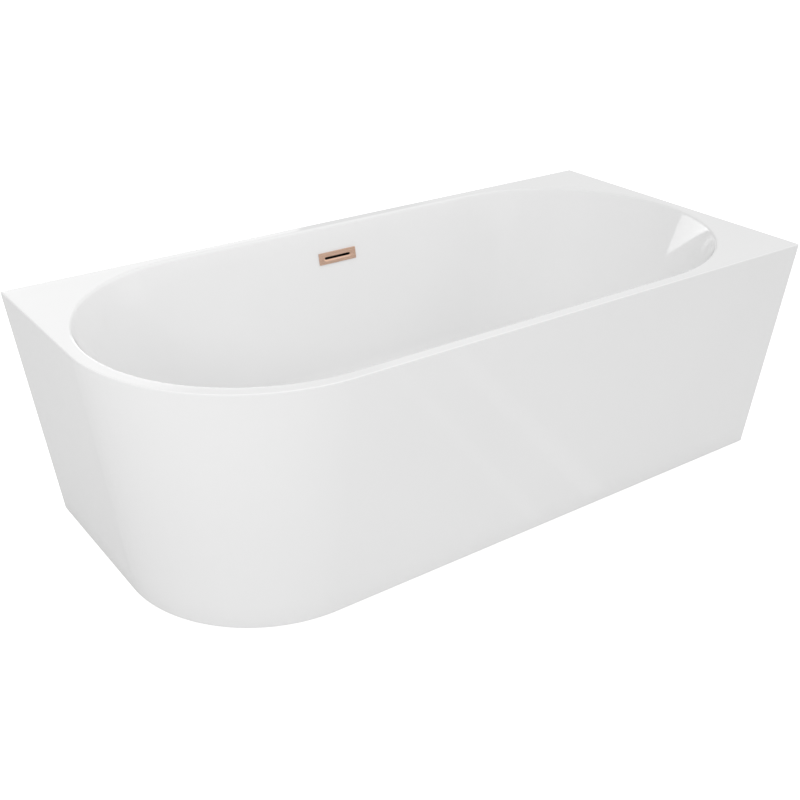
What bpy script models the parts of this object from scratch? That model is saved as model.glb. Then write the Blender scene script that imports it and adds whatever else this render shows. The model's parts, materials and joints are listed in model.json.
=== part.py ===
"""Freestanding corner bathtub: acrylic basin and skirt on a levelled underframe, with waste and overflow.

Metres, +Z up, origin on the floor under the middle of the tub. +Y is the long wall side, +X the short wall
side. The front (-Y) and the left end (-X) lean inwards to the floor, and the corner between them is round.
"""

import math

import bmesh
import bpy
from mathutils import Matrix, Vector

# Fits
GAP = 0.0003  # between two pieces that touch
SLIDE_GAP = 0.0004  # around a piece that moves in a bore

# Overall
LENGTH = 1.700
WIDTH = 0.820
BODY_HEIGHT = 0.585  # skirt base to deck
FLOOR_GAP = 0.003  # floor to skirt base
HEIGHT = BODY_HEIGHT + FLOOR_GAP
HALF_LENGTH = LENGTH / 2
HALF_WIDTH = WIDTH / 2

# Skirt
SKIRT_WALL = 0.005
SKIRT_FLANGE = 0.014  # width of the turned-in top edge, wall included
FRONT_TAPER = 0.081  # how far the front stands back at the floor
LEFT_TAPER = 0.070
TOP_CORNER_RADIUS = 0.405
BASE_CORNER_RADIUS = 0.325
CORNER_STEPS = 18

# Basin
RIM_WIDTH = 0.030
SHELL = 0.006
RIM_ROUND = 0.008
RIM_ROUND_STEPS = 3
SIDE_LEAN = math.radians(11)
END_LEAN = math.radians(24)
FLOOR_EDGE_DEPTH = 0.430  # deck to the floor's edge
FLOOR_FALL = 0.006  # floor's edge to the waste
FLOOR_FILLET = 0.090
FILLET_STEPS = 6
QUARTER_STEPS = 8  # of each quarter of the basin's round ends, an even number
STRAIGHT_STEPS = 8
FLOOR_EDGE_Z = HEIGHT - FLOOR_EDGE_DEPTH
FLOOR_Z = FLOOR_EDGE_Z - FLOOR_FALL
UNDERSIDE_Z = FLOOR_Z - SHELL
FILLET_CENTRE_Z = FLOOR_EDGE_Z + FLOOR_FILLET
OUTER_FILLET = FILLET_CENTRE_Z - UNDERSIDE_Z

# Waste
WASTE_Y = 0.080
ROUND_STEPS = 20
FLANGE_TAIL_RADIUS = 0.0240
FLANGE_TAIL_WALL = 0.0035
FLANGE_BORE = FLANGE_TAIL_RADIUS - FLANGE_TAIL_WALL
FLANGE_TAIL = 0.045  # length below the recess
FLANGE_THICK = 0.0028
RECESS_DEPTH = 0.0025
DRAIN_HOLE = FLANGE_TAIL_RADIUS + 0.001
SEAL_THICK = 0.0020
SEAL_INNER = FLANGE_BORE + 0.0015
SEAL_OUTER = SEAL_INNER + 0.006
PLUG_RADIUS = SEAL_OUTER + 0.0035
PLUG_THICK = 0.0040
FLANGE_RADIUS = PLUG_RADIUS + 0.0038
WASTE_DISH = FLANGE_RADIUS + 0.0117  # radius of the flat round the waste
STEM_RADIUS = 0.0040
STEM_LENGTH = 0.042
GUIDE_HUB = STEM_RADIUS + 0.0045
GUIDE_ARM = 0.0040
GUIDE_TOP_DROP = 0.014  # below the floor
GUIDE_LENGTH = 0.022
WASTE_GASKET = 0.0030
WASTE_BODY_BORE = FLANGE_TAIL_RADIUS + 0.0006
WASTE_BODY_RADIUS = WASTE_BODY_BORE + 0.0044
WASTE_BODY_FLANGE = WASTE_BODY_RADIUS + 0.0085
WASTE_BODY_FLANGE_THICK = 0.006
WASTE_BODY_BASE_Z = UNDERSIDE_Z - 0.074
RECESS_Z = FLOOR_Z - RECESS_DEPTH
FLANGE_TOP_Z = RECESS_Z + GAP + FLANGE_THICK
PLUG_BASE_Z = FLANGE_TOP_Z + SEAL_THICK + 2 * GAP

# Trap and outlet
TRAP_RADIUS = WASTE_BODY_RADIUS + 0.013
TRAP_WALL = 0.0030
TRAP_TOP_Z = WASTE_BODY_BASE_Z - 0.0075
TRAP_SPLIT_Z = TRAP_TOP_Z - 0.0345
TRAP_BASE_Z = TRAP_SPLIT_Z - 0.018
TRAP_NUT_WALL = 0.0050
TRAP_NUT_LENGTH = 0.012
OUTLET_RADIUS = 0.0160
OUTLET_WALL = 0.0025
OUTLET_BORE = OUTLET_RADIUS - OUTLET_WALL
OUTLET_Z = TRAP_TOP_Z - OUTLET_RADIUS - 0.0005
OUTLET_STUB = TRAP_RADIUS + 0.033  # trap's axis to the end of its outlet
OUTLET_WALL_GAP = 0.004  # pipe's end to the wall face
OUTLET_NUT_WALL = 0.0040
OUTLET_NUT_LENGTH = 0.016
PIPE_NOTCH_WIDTH = 0.300  # cut in the skirt's wall side, round the outlet pipe
PIPE_NOTCH_TOP = OUTLET_Z + OUTLET_RADIUS + 0.059

# Overflow
OVERFLOW_DROP = 0.080  # deck to the middle of the plate
HOSE_RADIUS = 0.0095
SLOT_WIDTH = 0.076
SLOT_TALL = 0.006
PORT_WIDTH = SLOT_WIDTH + 0.008
PORT_TALL = SLOT_TALL + 0.008
PLATE_WIDTH = PORT_WIDTH + 0.026
PLATE_TALL = PORT_TALL + 0.016
PLATE_THICK = 0.0030
HOUSING_WIDTH = PORT_WIDTH + 0.016
HOUSING_TALL = PORT_TALL + 0.014
HOUSING_DEEP = 2 * HOSE_RADIUS + 0.003
HOUSING_WALL = 0.0025
OVERFLOW_GASKET = 0.0020
HOSE_BORE = HOSE_RADIUS - 0.0025
HOSE_POINTS = 40
SPIGOT_LENGTH = 0.034  # from the housing's middle
HOSE_PORT_Z = WASTE_BODY_BASE_Z + 0.017
HOSE_PORT_REACH = 0.022  # waste body's side to the end of its port
HOSE_NUT_WALL = 0.0035
HOSE_NUT_LENGTH = 0.018

# Base board and underframe
BOARD_THICK = 0.015
BOARD_MARGIN = 0.012  # flat underside's edge to the board's
BOARD_HOLE = 0.060
TUBE = 0.025
TUBE_WALL = 0.002
RAIL_Y = 0.150
RAIL_LENGTH = 1.000
CROSS_X = (-0.460, -0.140, 0.460)
CROSS_LENGTH = 0.560
SCREW_X = (-0.300, 0.160, 0.380)  # along both rails, clear of the cross tubes
SCREW_RADIUS = 0.0025
SCREW_HEAD_RADIUS = 0.0055
SCREW_HEAD_TALL = 0.0025
SCREW_BITE = 0.0105  # into the board
SCREW_CLEARANCE = 0.0005
SCREW_STEPS = 12
BOARD_BASE_Z = UNDERSIDE_Z - GAP - BOARD_THICK
RAIL_BASE_Z = BOARD_BASE_Z - GAP - TUBE
CROSS_BASE_Z = RAIL_BASE_Z - GAP - TUBE

# Levelling feet
FOOT_Y = 0.255
ROD_RADIUS = 0.0060
ROD_TOP_Z = CROSS_BASE_Z + 0.0439
NUT_ACROSS = 2 * ROD_RADIUS + 0.007
NUT_TALL = 0.010
LOCK_NUT_TALL = 0.006
ROD_STEPS = 12
ROD_HOLE_CLEARANCE = 0.0015
PAD_RADIUS = 0.030
PAD_TALL = 0.014
PAD_EDGE = 0.004
PAD_NECK_RADIUS = ROD_RADIUS + 0.007
PAD_SOCKET_DEPTH = 0.008

# Materials: colour, roughness, metallic
ACRYLIC = ("white_acrylic", (0.87, 0.87, 0.87), 0.12, 0.0)
LAMINATE = ("board_laminate", (0.62, 0.50, 0.34), 0.70, 0.0)
STEEL = ("galvanised_steel", (0.62, 0.64, 0.66), 0.38, 1.0)
ROSE_GOLD = ("rose_gold", (0.78, 0.52, 0.40), 0.25, 1.0)
RUBBER = ("black_rubber", (0.03, 0.03, 0.03), 0.70, 0.0)
WHITE_PLASTIC = ("white_plastic", (0.80, 0.80, 0.79), 0.40, 0.0)
BLACK_PLASTIC = ("black_plastic", (0.03, 0.03, 0.03), 0.45, 0.0)
GREY_PLASTIC = ("grey_plastic", (0.40, 0.41, 0.42), 0.45, 0.0)
SMOOTH_ANGLE = math.radians(35)


def clear_scene():
    for obj in list(bpy.data.objects):
        bpy.data.objects.remove(obj, do_unlink=True)


def material(finish):
    name, colour, roughness, metallic = finish
    found = bpy.data.materials.get(name)
    if found:
        return found
    made = bpy.data.materials.new(name)
    made.use_nodes = True
    shader = made.node_tree.nodes["Principled BSDF"]
    shader.inputs["Base Color"].default_value = (*colour, 1)
    shader.inputs["Roughness"].default_value = roughness
    shader.inputs["Metallic"].default_value = metallic
    return made


def add_object(name, bm, finish, place=None, parent=None):
    """Closes the bmesh into a named object; place is its matrix in the world."""
    bmesh.ops.recalc_face_normals(bm, faces=bm.faces)
    mesh = bpy.data.meshes.new(name)
    bm.to_mesh(mesh)
    bm.free()
    mesh.materials.append(material(finish))
    mesh.shade_smooth()
    mesh.set_sharp_from_angle(angle=SMOOTH_ANGLE)
    obj = bpy.data.objects.new(name, mesh)
    bpy.context.scene.collection.objects.link(obj)
    if place is not None:
        obj.matrix_world = place
    if parent:
        obj.parent = parent
        obj.matrix_parent_inverse = parent.matrix_world.inverted()
    return obj


def add_empty(name, location):
    empty = bpy.data.objects.new(name, None)
    empty.matrix_world = Matrix.Translation(location)
    bpy.context.scene.collection.objects.link(empty)
    return empty


# Shapes, each returned as a bmesh

def loft(rings, closed):
    """Quads between rings of equal size. A closed loft joins last ring to first, an open one is capped."""
    bm = bmesh.new()
    loops = [[bm.verts.new(point) for point in ring] for ring in rings]
    pairs = list(zip(loops, loops[1:]))
    if closed:
        pairs.append((loops[-1], loops[0]))
    for lower, upper in pairs:
        count = len(lower)
        for i in range(count):
            j = (i + 1) % count
            bm.faces.new((lower[i], lower[j], upper[j], upper[i]))
    if not closed:
        bm.faces.new(loops[0])
        bm.faces.new(loops[-1])
    return bm


def circle(radius, z, steps=ROUND_STEPS):
    turns = [2 * math.pi * i / steps for i in range(steps)]
    return [Vector((radius * math.cos(a), radius * math.sin(a), z)) for a in turns]


def turned(profile, closed, steps=ROUND_STEPS):
    """The profile's (radius, z) points turned about Z."""
    return loft([circle(radius, z, steps) for radius, z in profile], closed)


def ring(inner, outer, z0, z1, steps=ROUND_STEPS):
    return turned([(inner, z0), (outer, z0), (outer, z1), (inner, z1)], True, steps)


def rod(radius, z0, z1, steps=ROUND_STEPS):
    return turned([(radius, z0), (radius, z1)], False, steps)


def rectangle(width, tall, z=0.0):
    w, t = width / 2, tall / 2
    return [Vector((x, y, z)) for x, y in ((-w, -t), (w, -t), (w, t), (-w, t))]


def box(width, tall, z0, z1):
    return loft([rectangle(width, tall, z0), rectangle(width, tall, z1)], False)


def slot_outline(width, tall, steps=6):
    """A slot with round ends, width along X."""
    radius = tall / 2
    points = []
    for centre, start in ((width / 2 - radius, -math.pi / 2), (radius - width / 2, math.pi / 2)):
        for i in range(steps + 1):
            a = start + math.pi * i / steps
            points.append(Vector((centre + radius * math.cos(a), radius * math.sin(a), 0)))
    return points


def holed_plate(outer, inner, z0, z1):
    """A flat plate between two outlines of any number of points."""
    bm = bmesh.new()
    edges = {z0: [], z1: []}
    for outline in (outer, inner):
        loops = []
        for z in (z0, z1):
            loop = [bm.verts.new((p.x, p.y, z)) for p in outline]
            edges[z] += [bm.edges.new((a, b)) for a, b in zip(loop, loop[1:] + loop[:1])]
            loops.append(loop)
        low, high = loops
        for i in range(len(outline)):
            j = (i + 1) % len(outline)
            bm.faces.new((low[i], low[j], high[j], high[i]))
    for z in (z0, z1):
        bmesh.ops.triangle_fill(bm, edges=edges[z], use_beauty=True)
    return bm


def square_tube(length):
    """A tube along X with open ends, its base at z = 0."""
    def end(x, side):
        middle, half = TUBE / 2, side / 2
        return [Vector((x, y, middle + z)) for y, z in
                ((-half, -half), (half, -half), (half, half), (-half, half))]
    bore = TUBE - 2 * TUBE_WALL
    half = length / 2
    return loft([end(-half, TUBE), end(half, TUBE), end(half, bore), end(-half, bore)], True)


def combine(obj, operation, bm, place=None):
    """Joins a shape to an object or cuts it out, and applies the result."""
    bmesh.ops.recalc_face_normals(bm, faces=bm.faces)
    mesh = bpy.data.meshes.new("tool")
    bm.to_mesh(mesh)
    bm.free()
    tool = bpy.data.objects.new("tool", mesh)
    tool.hide_render = True
    tool.display_type = "WIRE"
    bpy.context.scene.collection.objects.link(tool)
    if place is not None:
        tool.matrix_world = place
    modifier = obj.modifiers.new(operation.lower(), "BOOLEAN")
    modifier.operation = operation
    modifier.solver = "EXACT"
    modifier.object = tool
    bpy.context.view_layer.update()
    graph = bpy.context.evaluated_depsgraph_get()
    result = bpy.data.meshes.new_from_object(obj.evaluated_get(graph))
    result.name = obj.name
    obj.modifiers.clear()
    obj.data = result
    obj.data.shade_smooth()
    obj.data.set_sharp_from_angle(angle=SMOOTH_ANGLE)
    bpy.data.objects.remove(tool, do_unlink=True)
    bpy.data.meshes.remove(mesh)


def at(x, y, z=0.0):
    return Matrix.Translation((x, y, z))


TURN_X_TO_Y = Matrix.Rotation(math.pi / 2, 4, "Z")
TURN_Z_TO_Y = Matrix.Rotation(-math.pi / 2, 4, "X")


# Basin

def wall_inset(z, lean, thickness=0.0, fillet=FLOOR_FILLET):
    """How far a wall stands in from the rim's edge at a height: a leaning line with a fillet at the floor."""
    if z > FILLET_CENTRE_Z - fillet * math.sin(lean):
        return (HEIGHT - z) * math.tan(lean) - thickness / math.cos(lean)
    centre = (HEIGHT - FILLET_CENTRE_Z) * math.tan(lean) + (fillet - thickness) / math.cos(lean)
    drop = min(FILLET_CENTRE_Z - z, fillet)
    return centre - math.sqrt(fillet ** 2 - drop ** 2)


def rim_inset(z, lean):
    """The same within the rim's rounding, which meets the wall's line below it."""
    turn = math.pi / 2 - lean
    rise = z - (HEIGHT - RIM_ROUND)
    if rise < RIM_ROUND * math.cos(turn):
        return wall_inset(z, lean)
    return math.sqrt(max(RIM_ROUND ** 2 - rise ** 2, 0)) - RIM_ROUND * math.tan(turn / 2)


def stadium(side_inset, end_inset, z):
    """The basin's outline, two round ends and straight sides, counter-clockwise from the front right."""
    radius = HALF_WIDTH - RIM_WIDTH - side_inset
    centre = HALF_LENGTH - RIM_WIDTH - end_inset - radius
    points = []
    for side in (1, -1):
        for i in range(2 * QUARTER_STEPS + 1):
            a = math.pi / 2 * (i / QUARTER_STEPS - side)
            points.append(Vector((side * centre + radius * math.cos(a), radius * math.sin(a), z)))
        for i in range(1, STRAIGHT_STEPS):
            x = side * centre * (1 - 2 * i / STRAIGHT_STEPS)
            points.append(Vector((x, side * radius, z)))
    return points


def wall_ring(z, thickness=0.0, fillet=FLOOR_FILLET):
    """The basin's outline at a height, on its inner face or a thickness outside it."""
    side = wall_inset(z, SIDE_LEAN, thickness, fillet)
    end = wall_inset(z, END_LEAN, thickness, fillet)
    return stadium(side, end, z)


def rim_ring(step):
    turn = (math.pi / 2 - SIDE_LEAN) * step / RIM_ROUND_STEPS
    z = HEIGHT - RIM_ROUND * (1 - math.cos(turn))
    return stadium(rim_inset(z, SIDE_LEAN), rim_inset(z, END_LEAN), z)


def waste_ring(radius, z):
    """A circle round the waste with as many points as a stadium, in the same order."""
    count = 4 * QUARTER_STEPS + 2 * STRAIGHT_STEPS
    turns = [2 * math.pi * (i + STRAIGHT_STEPS / 2) / count - math.pi / 2 for i in range(count)]
    return [Vector((radius * math.cos(a), WASTE_Y + radius * math.sin(a), z)) for a in turns]


def to_corner_circle(start, direction):
    """The distance along a ray to the deck's round corner, or None where the ray passes it by."""
    radius = TOP_CORNER_RADIUS
    centre = Vector((radius - HALF_LENGTH, radius - HALF_WIDTH))
    back = start - centre
    half = back.dot(direction)
    root = half ** 2 - back.length_squared + radius ** 2
    if root < 0:
        return None
    reach = -half + math.sqrt(root)
    hit = start + direction * reach
    return reach if hit.x < centre.x and hit.y < centre.y else None


def deck_outline(z):
    """The deck's outer edge, one point for each point of the stadium."""
    inner = stadium(0, 0, 0)
    centre_x = HALF_LENGTH - HALF_WIDTH
    points = []
    for point in inner:
        side = 1 if point.x > 0 else -1
        if abs(point.x) <= centre_x + GAP:
            points.append(Vector((point.x, math.copysign(HALF_WIDTH, point.y), z)))
            continue
        start = Vector((side * centre_x, 0))
        direction = (Vector((point.x, point.y)) - start).normalized()
        reach = (HALF_LENGTH - centre_x) / abs(direction.x)
        if abs(direction.y) * reach > HALF_WIDTH:
            reach = HALF_WIDTH / abs(direction.y)
        reach = to_corner_circle(start, direction) or reach
        hit = start + direction * reach
        points.append(Vector((hit.x, hit.y, z)))
    return points


def fillet_rings(radius, thickness):
    """The outlines down the floor's fillet, from the foot of the side walls to the floor."""
    rings = []
    for i in range(FILLET_STEPS + 1):
        turn = SIDE_LEAN + (math.pi / 2 - SIDE_LEAN) * i / FILLET_STEPS
        rings.append(wall_ring(FILLET_CENTRE_Z - radius * math.sin(turn), thickness, radius))
    return rings


def overflow_place(depth=0.0):
    """The overflow's frame on the back wall, moved back by a depth: X along it, Y up it, Z into the bath."""
    y = HALF_WIDTH - RIM_WIDTH - OVERFLOW_DROP * math.tan(SIDE_LEAN)
    lean = Matrix.Rotation(math.pi / 2 - SIDE_LEAN, 4, "X")
    return at(0, y, HEIGHT - OVERFLOW_DROP) @ lean @ at(0, 0, -depth)


def build_basin():
    inner = [deck_outline(HEIGHT)]
    inner += [rim_ring(step) for step in range(RIM_ROUND_STEPS + 1)]
    inner += fillet_rings(FLOOR_FILLET, 0.0)
    recess = FLANGE_RADIUS + GAP
    inner += [waste_ring(WASTE_DISH, FLOOR_Z), waste_ring(recess, FLOOR_Z), waste_ring(recess, RECESS_Z)]
    inner.append(waste_ring(DRAIN_HOLE, RECESS_Z))
    outer = [waste_ring(DRAIN_HOLE, UNDERSIDE_Z)]
    outer += reversed(fillet_rings(OUTER_FILLET, SHELL))
    outer.append(wall_ring(HEIGHT - SHELL, SHELL, OUTER_FILLET))
    outer.append(deck_outline(HEIGHT - SHELL))
    basin = add_object("basin_shell", loft(inner + outer, True), ACRYLIC)
    reach = 3 * SHELL
    combine(basin, "DIFFERENCE", box(PORT_WIDTH, PORT_TALL, -reach, reach), overflow_place())


# Skirt

def skirt_outline(z, inset):
    """The skirt's outline at a height, an inset inside its outer face."""
    lean = (HEIGHT - z) / BODY_HEIGHT
    left = LEFT_TAPER * lean + inset - HALF_LENGTH
    front = FRONT_TAPER * lean + inset - HALF_WIDTH
    right, back = HALF_LENGTH - inset, HALF_WIDTH - inset
    radius = TOP_CORNER_RADIUS + (BASE_CORNER_RADIUS - TOP_CORNER_RADIUS) * lean - inset
    points = [Vector((right, front, z)), Vector((right, back, z)), Vector((left, back, z))]
    for i in range(CORNER_STEPS + 1):
        a = math.pi + math.pi / 2 * i / CORNER_STEPS
        points.append(Vector((left + radius * (1 + math.cos(a)), front + radius * (1 + math.sin(a)), z)))
    return points


def build_skirt():
    top = HEIGHT - SHELL - GAP
    rings = [skirt_outline(z, inset) for z, inset in (
        (FLOOR_GAP, 0.0), (top, 0.0), (top, SKIRT_FLANGE), (top - SKIRT_WALL, SKIRT_FLANGE),
        (top - SKIRT_WALL, SKIRT_WALL), (FLOOR_GAP, SKIRT_WALL))]
    skirt = add_object("outer_skirt", loft(rings, True), ACRYLIC)
    notch = box(PIPE_NOTCH_WIDTH, 4 * SKIRT_WALL, 0, PIPE_NOTCH_TOP)
    combine(skirt, "DIFFERENCE", notch, at(0, HALF_WIDTH))


# Base board and underframe

def screw_places():
    return [(x, y) for y in (-RAIL_Y, RAIL_Y) for x in SCREW_X]


def screw_hole():
    radius = SCREW_RADIUS + SCREW_CLEARANCE
    return rod(radius, RAIL_BASE_Z - TUBE, BOARD_BASE_Z + SCREW_BITE + SCREW_CLEARANCE, SCREW_STEPS)


def build_screws():
    """Pan-head screws up through the rails into the board."""
    top = RAIL_BASE_Z - GAP
    tip = BOARD_BASE_Z + SCREW_BITE
    for number, (x, y) in enumerate(screw_places(), 1):
        screw = turned([(SCREW_HEAD_RADIUS * 0.7, top - SCREW_HEAD_TALL), (SCREW_HEAD_RADIUS, top),
                        (SCREW_RADIUS, top), (SCREW_RADIUS, tip - 2 * SCREW_RADIUS),
                        (SCREW_RADIUS / 4, tip)], False, SCREW_STEPS)
        add_object(f"frame_screw_{number}", screw, STEEL, at(x, y))


def build_board():
    flat = wall_inset(UNDERSIDE_Z, SIDE_LEAN, SHELL, OUTER_FILLET) + BOARD_MARGIN
    flat_end = wall_inset(UNDERSIDE_Z, END_LEAN, SHELL, OUTER_FILLET) + BOARD_MARGIN
    hole = [Vector((p.x, p.y + WASTE_Y, 0)) for p in circle(BOARD_HOLE, 0)]
    outline = stadium(flat, flat_end, 0)
    plate = holed_plate(outline, hole, BOARD_BASE_Z, BOARD_BASE_Z + BOARD_THICK)
    board = add_object("base_board", plate, LAMINATE)
    for x, y in screw_places():
        combine(board, "DIFFERENCE", screw_hole(), at(x, y))


def build_underframe():
    for name, y in (("frame_rail_front", -RAIL_Y), ("frame_rail_back", RAIL_Y)):
        rail = add_object(name, square_tube(RAIL_LENGTH), STEEL, at(0, y, RAIL_BASE_Z))
        for x in SCREW_X:
            combine(rail, "DIFFERENCE", screw_hole(), at(x, y))
    for name, x in zip(("frame_cross_left", "frame_cross_middle", "frame_cross_right"), CROSS_X):
        cross = add_object(name, square_tube(CROSS_LENGTH), STEEL, at(x, 0, CROSS_BASE_Z) @ TURN_X_TO_Y)
        for y in (-FOOT_Y, FOOT_Y):
            hole = rod(ROD_RADIUS + ROD_HOLE_CLEARANCE, -TUBE, 2 * TUBE, ROD_STEPS)
            combine(cross, "DIFFERENCE", hole, at(x, y, CROSS_BASE_Z))


def build_foot(number, x, y):
    """A levelling foot. The rod and its pad move down and up in the welded nut."""
    rod_base = PAD_TALL - PAD_SOCKET_DEPTH + GAP
    place = at(x, y)
    axis = add_empty(f"foot_axis_{number}", (x, y, 0))
    socket = ROD_RADIUS + GAP
    pad = turned([(PAD_RADIUS, 0), (PAD_RADIUS, PAD_EDGE), (PAD_NECK_RADIUS, PAD_TALL),
                  (socket, PAD_TALL), (socket, PAD_TALL - PAD_SOCKET_DEPTH)], False)
    add_object(f"foot_pad_{number}", pad, RUBBER, place, axis)
    add_object(f"foot_rod_{number}", rod(ROD_RADIUS, rod_base, ROD_TOP_Z, ROD_STEPS), STEEL, place, axis)
    hexagon = circle(NUT_ACROSS / 2 / math.cos(math.pi / 6), 0, 6)
    bore = circle(ROD_RADIUS + SLIDE_GAP, 0, ROD_STEPS)
    nut_base = CROSS_BASE_Z - GAP - NUT_TALL
    add_object(f"foot_nut_{number}", holed_plate(hexagon, bore, nut_base, nut_base + NUT_TALL), STEEL, place)
    lock_base = nut_base - GAP - LOCK_NUT_TALL
    lock = holed_plate(hexagon, bore, lock_base, lock_base + LOCK_NUT_TALL)
    add_object(f"lock_nut_{number}", lock, STEEL, place)


def build_feet():
    places = [(x, y) for x in CROSS_X for y in (-FOOT_Y, FOOT_Y)]
    for number, (x, y) in enumerate(places, 1):
        build_foot(number, x, y)


# Waste

def guide_outline():
    """Three arms out of a hub."""
    points = []
    half = GUIDE_ARM / 2
    reach = FLANGE_BORE - 2 * GAP
    for arm in range(3):
        a = 2 * math.pi * arm / 3
        for radius, side in ((GUIDE_HUB, -1), (reach, -1), (reach, 1), (GUIDE_HUB, 1)):
            turn = a + side * math.asin(half / radius)
            points.append(Vector((radius * math.cos(turn), radius * math.sin(turn), 0)))
        middle = a + math.pi / 3
        points.append(Vector((GUIDE_HUB * math.cos(middle), GUIDE_HUB * math.sin(middle), 0)))
    return points


def build_waste():
    place = at(0, WASTE_Y)
    low = RECESS_Z + GAP
    tail = low - FLANGE_TAIL
    flange = turned([(FLANGE_BORE, tail), (FLANGE_TAIL_RADIUS, tail), (FLANGE_TAIL_RADIUS, low),
                     (FLANGE_RADIUS, low), (FLANGE_RADIUS, FLANGE_TOP_Z), (SEAL_INNER, FLANGE_TOP_Z),
                     (FLANGE_BORE, FLANGE_TOP_Z - FLANGE_THICK / 2)], True)
    add_object("waste_flange", flange, ROSE_GOLD, place)

    axis = add_empty("plug_axis", (0, WASTE_Y, PLUG_BASE_Z))
    seal = ring(SEAL_INNER, SEAL_OUTER, FLANGE_TOP_Z + GAP, FLANGE_TOP_Z + GAP + SEAL_THICK)
    add_object("plug_seal", seal, RUBBER, place, axis)
    edge = PLUG_THICK / 4
    cap = turned([(PLUG_RADIUS, PLUG_BASE_Z), (PLUG_RADIUS, PLUG_BASE_Z + PLUG_THICK - edge),
                  (PLUG_RADIUS - edge, PLUG_BASE_Z + PLUG_THICK)], False)
    add_object("waste_plug", cap, ROSE_GOLD, place, axis)
    stem_top = PLUG_BASE_Z - GAP
    stem = rod(STEM_RADIUS, stem_top - STEM_LENGTH, stem_top, ROD_STEPS)
    add_object("plug_stem", stem, STEEL, place, axis)
    guide_top = FLOOR_Z - GUIDE_TOP_DROP
    bore = circle(STEM_RADIUS + SLIDE_GAP, 0, ROD_STEPS)
    guide = holed_plate(guide_outline(), bore, guide_top - GUIDE_LENGTH, guide_top)
    add_object("plug_guide", guide, WHITE_PLASTIC, place)

    gasket_base = UNDERSIDE_Z - GAP - WASTE_GASKET
    gasket = ring(WASTE_BODY_BORE, WASTE_BODY_FLANGE, gasket_base, gasket_base + WASTE_GASKET)
    add_object("waste_gasket", gasket, RUBBER, place)
    top = gasket_base - GAP
    shoulder = top - WASTE_BODY_FLANGE_THICK
    body = turned([(WASTE_BODY_BORE, WASTE_BODY_BASE_Z), (WASTE_BODY_RADIUS, WASTE_BODY_BASE_Z),
                   (WASTE_BODY_RADIUS, shoulder), (WASTE_BODY_FLANGE, shoulder), (WASTE_BODY_FLANGE, top),
                   (WASTE_BODY_BORE, top)], True)
    made = add_object("waste_body", body, WHITE_PLASTIC, place)
    side = at(0, WASTE_Y, HOSE_PORT_Z) @ TURN_Z_TO_Y
    wall_middle = (WASTE_BODY_BORE + WASTE_BODY_RADIUS) / 2
    port_end = WASTE_BODY_RADIUS + HOSE_PORT_REACH
    combine(made, "UNION", rod(HOSE_RADIUS, wall_middle, port_end), side)
    combine(made, "DIFFERENCE", rod(HOSE_BORE, WASTE_BODY_BORE / 2, port_end + GAP), side)


def build_trap():
    place = at(0, WASTE_Y)
    inner = TRAP_RADIUS - TRAP_WALL
    cup = turned([(TRAP_RADIUS, TRAP_BASE_Z), (TRAP_RADIUS, TRAP_SPLIT_Z), (inner, TRAP_SPLIT_Z),
                  (inner, TRAP_BASE_Z + TRAP_WALL)], False)
    add_object("trap_cup", cup, WHITE_PLASTIC, place)
    neck_top = WASTE_BODY_BASE_Z - GAP
    base = TRAP_SPLIT_Z + GAP
    body = turned([(TRAP_RADIUS, base), (TRAP_RADIUS, TRAP_TOP_Z), (WASTE_BODY_RADIUS, TRAP_TOP_Z),
                   (WASTE_BODY_RADIUS, neck_top), (WASTE_BODY_BORE, neck_top),
                   (WASTE_BODY_BORE, TRAP_TOP_Z - TRAP_WALL), (inner, TRAP_TOP_Z - TRAP_WALL),
                   (inner, base)], True)
    trap = add_object("trap_body", body, WHITE_PLASTIC, place)
    side = at(0, WASTE_Y, OUTLET_Z) @ TURN_Z_TO_Y
    combine(trap, "UNION", rod(OUTLET_RADIUS, TRAP_RADIUS - TRAP_WALL / 2, OUTLET_STUB), side)
    combine(trap, "DIFFERENCE", rod(OUTLET_BORE, inner / 2, OUTLET_STUB + GAP), side)
    nut_base = TRAP_TOP_Z + GAP
    nut = ring(WASTE_BODY_RADIUS + GAP, WASTE_BODY_RADIUS + TRAP_NUT_WALL, nut_base,
               nut_base + TRAP_NUT_LENGTH)
    add_object("trap_nut", nut, GREY_PLASTIC, place)
    pipe_end = HALF_WIDTH - OUTLET_WALL_GAP - WASTE_Y
    pipe = ring(OUTLET_BORE, OUTLET_RADIUS, OUTLET_STUB + GAP, pipe_end)
    add_object("outlet_pipe", pipe, WHITE_PLASTIC, side)
    half = OUTLET_NUT_LENGTH / 2
    nut = ring(OUTLET_RADIUS + GAP, OUTLET_RADIUS + OUTLET_NUT_WALL, OUTLET_STUB - half, OUTLET_STUB + half)
    add_object("outlet_nut", nut, GREY_PLASTIC, side)


# Overflow

def housing_middle():
    depth = SHELL + 2 * GAP + OVERFLOW_GASKET + HOUSING_DEEP / 2
    return overflow_place(depth).translation


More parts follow.
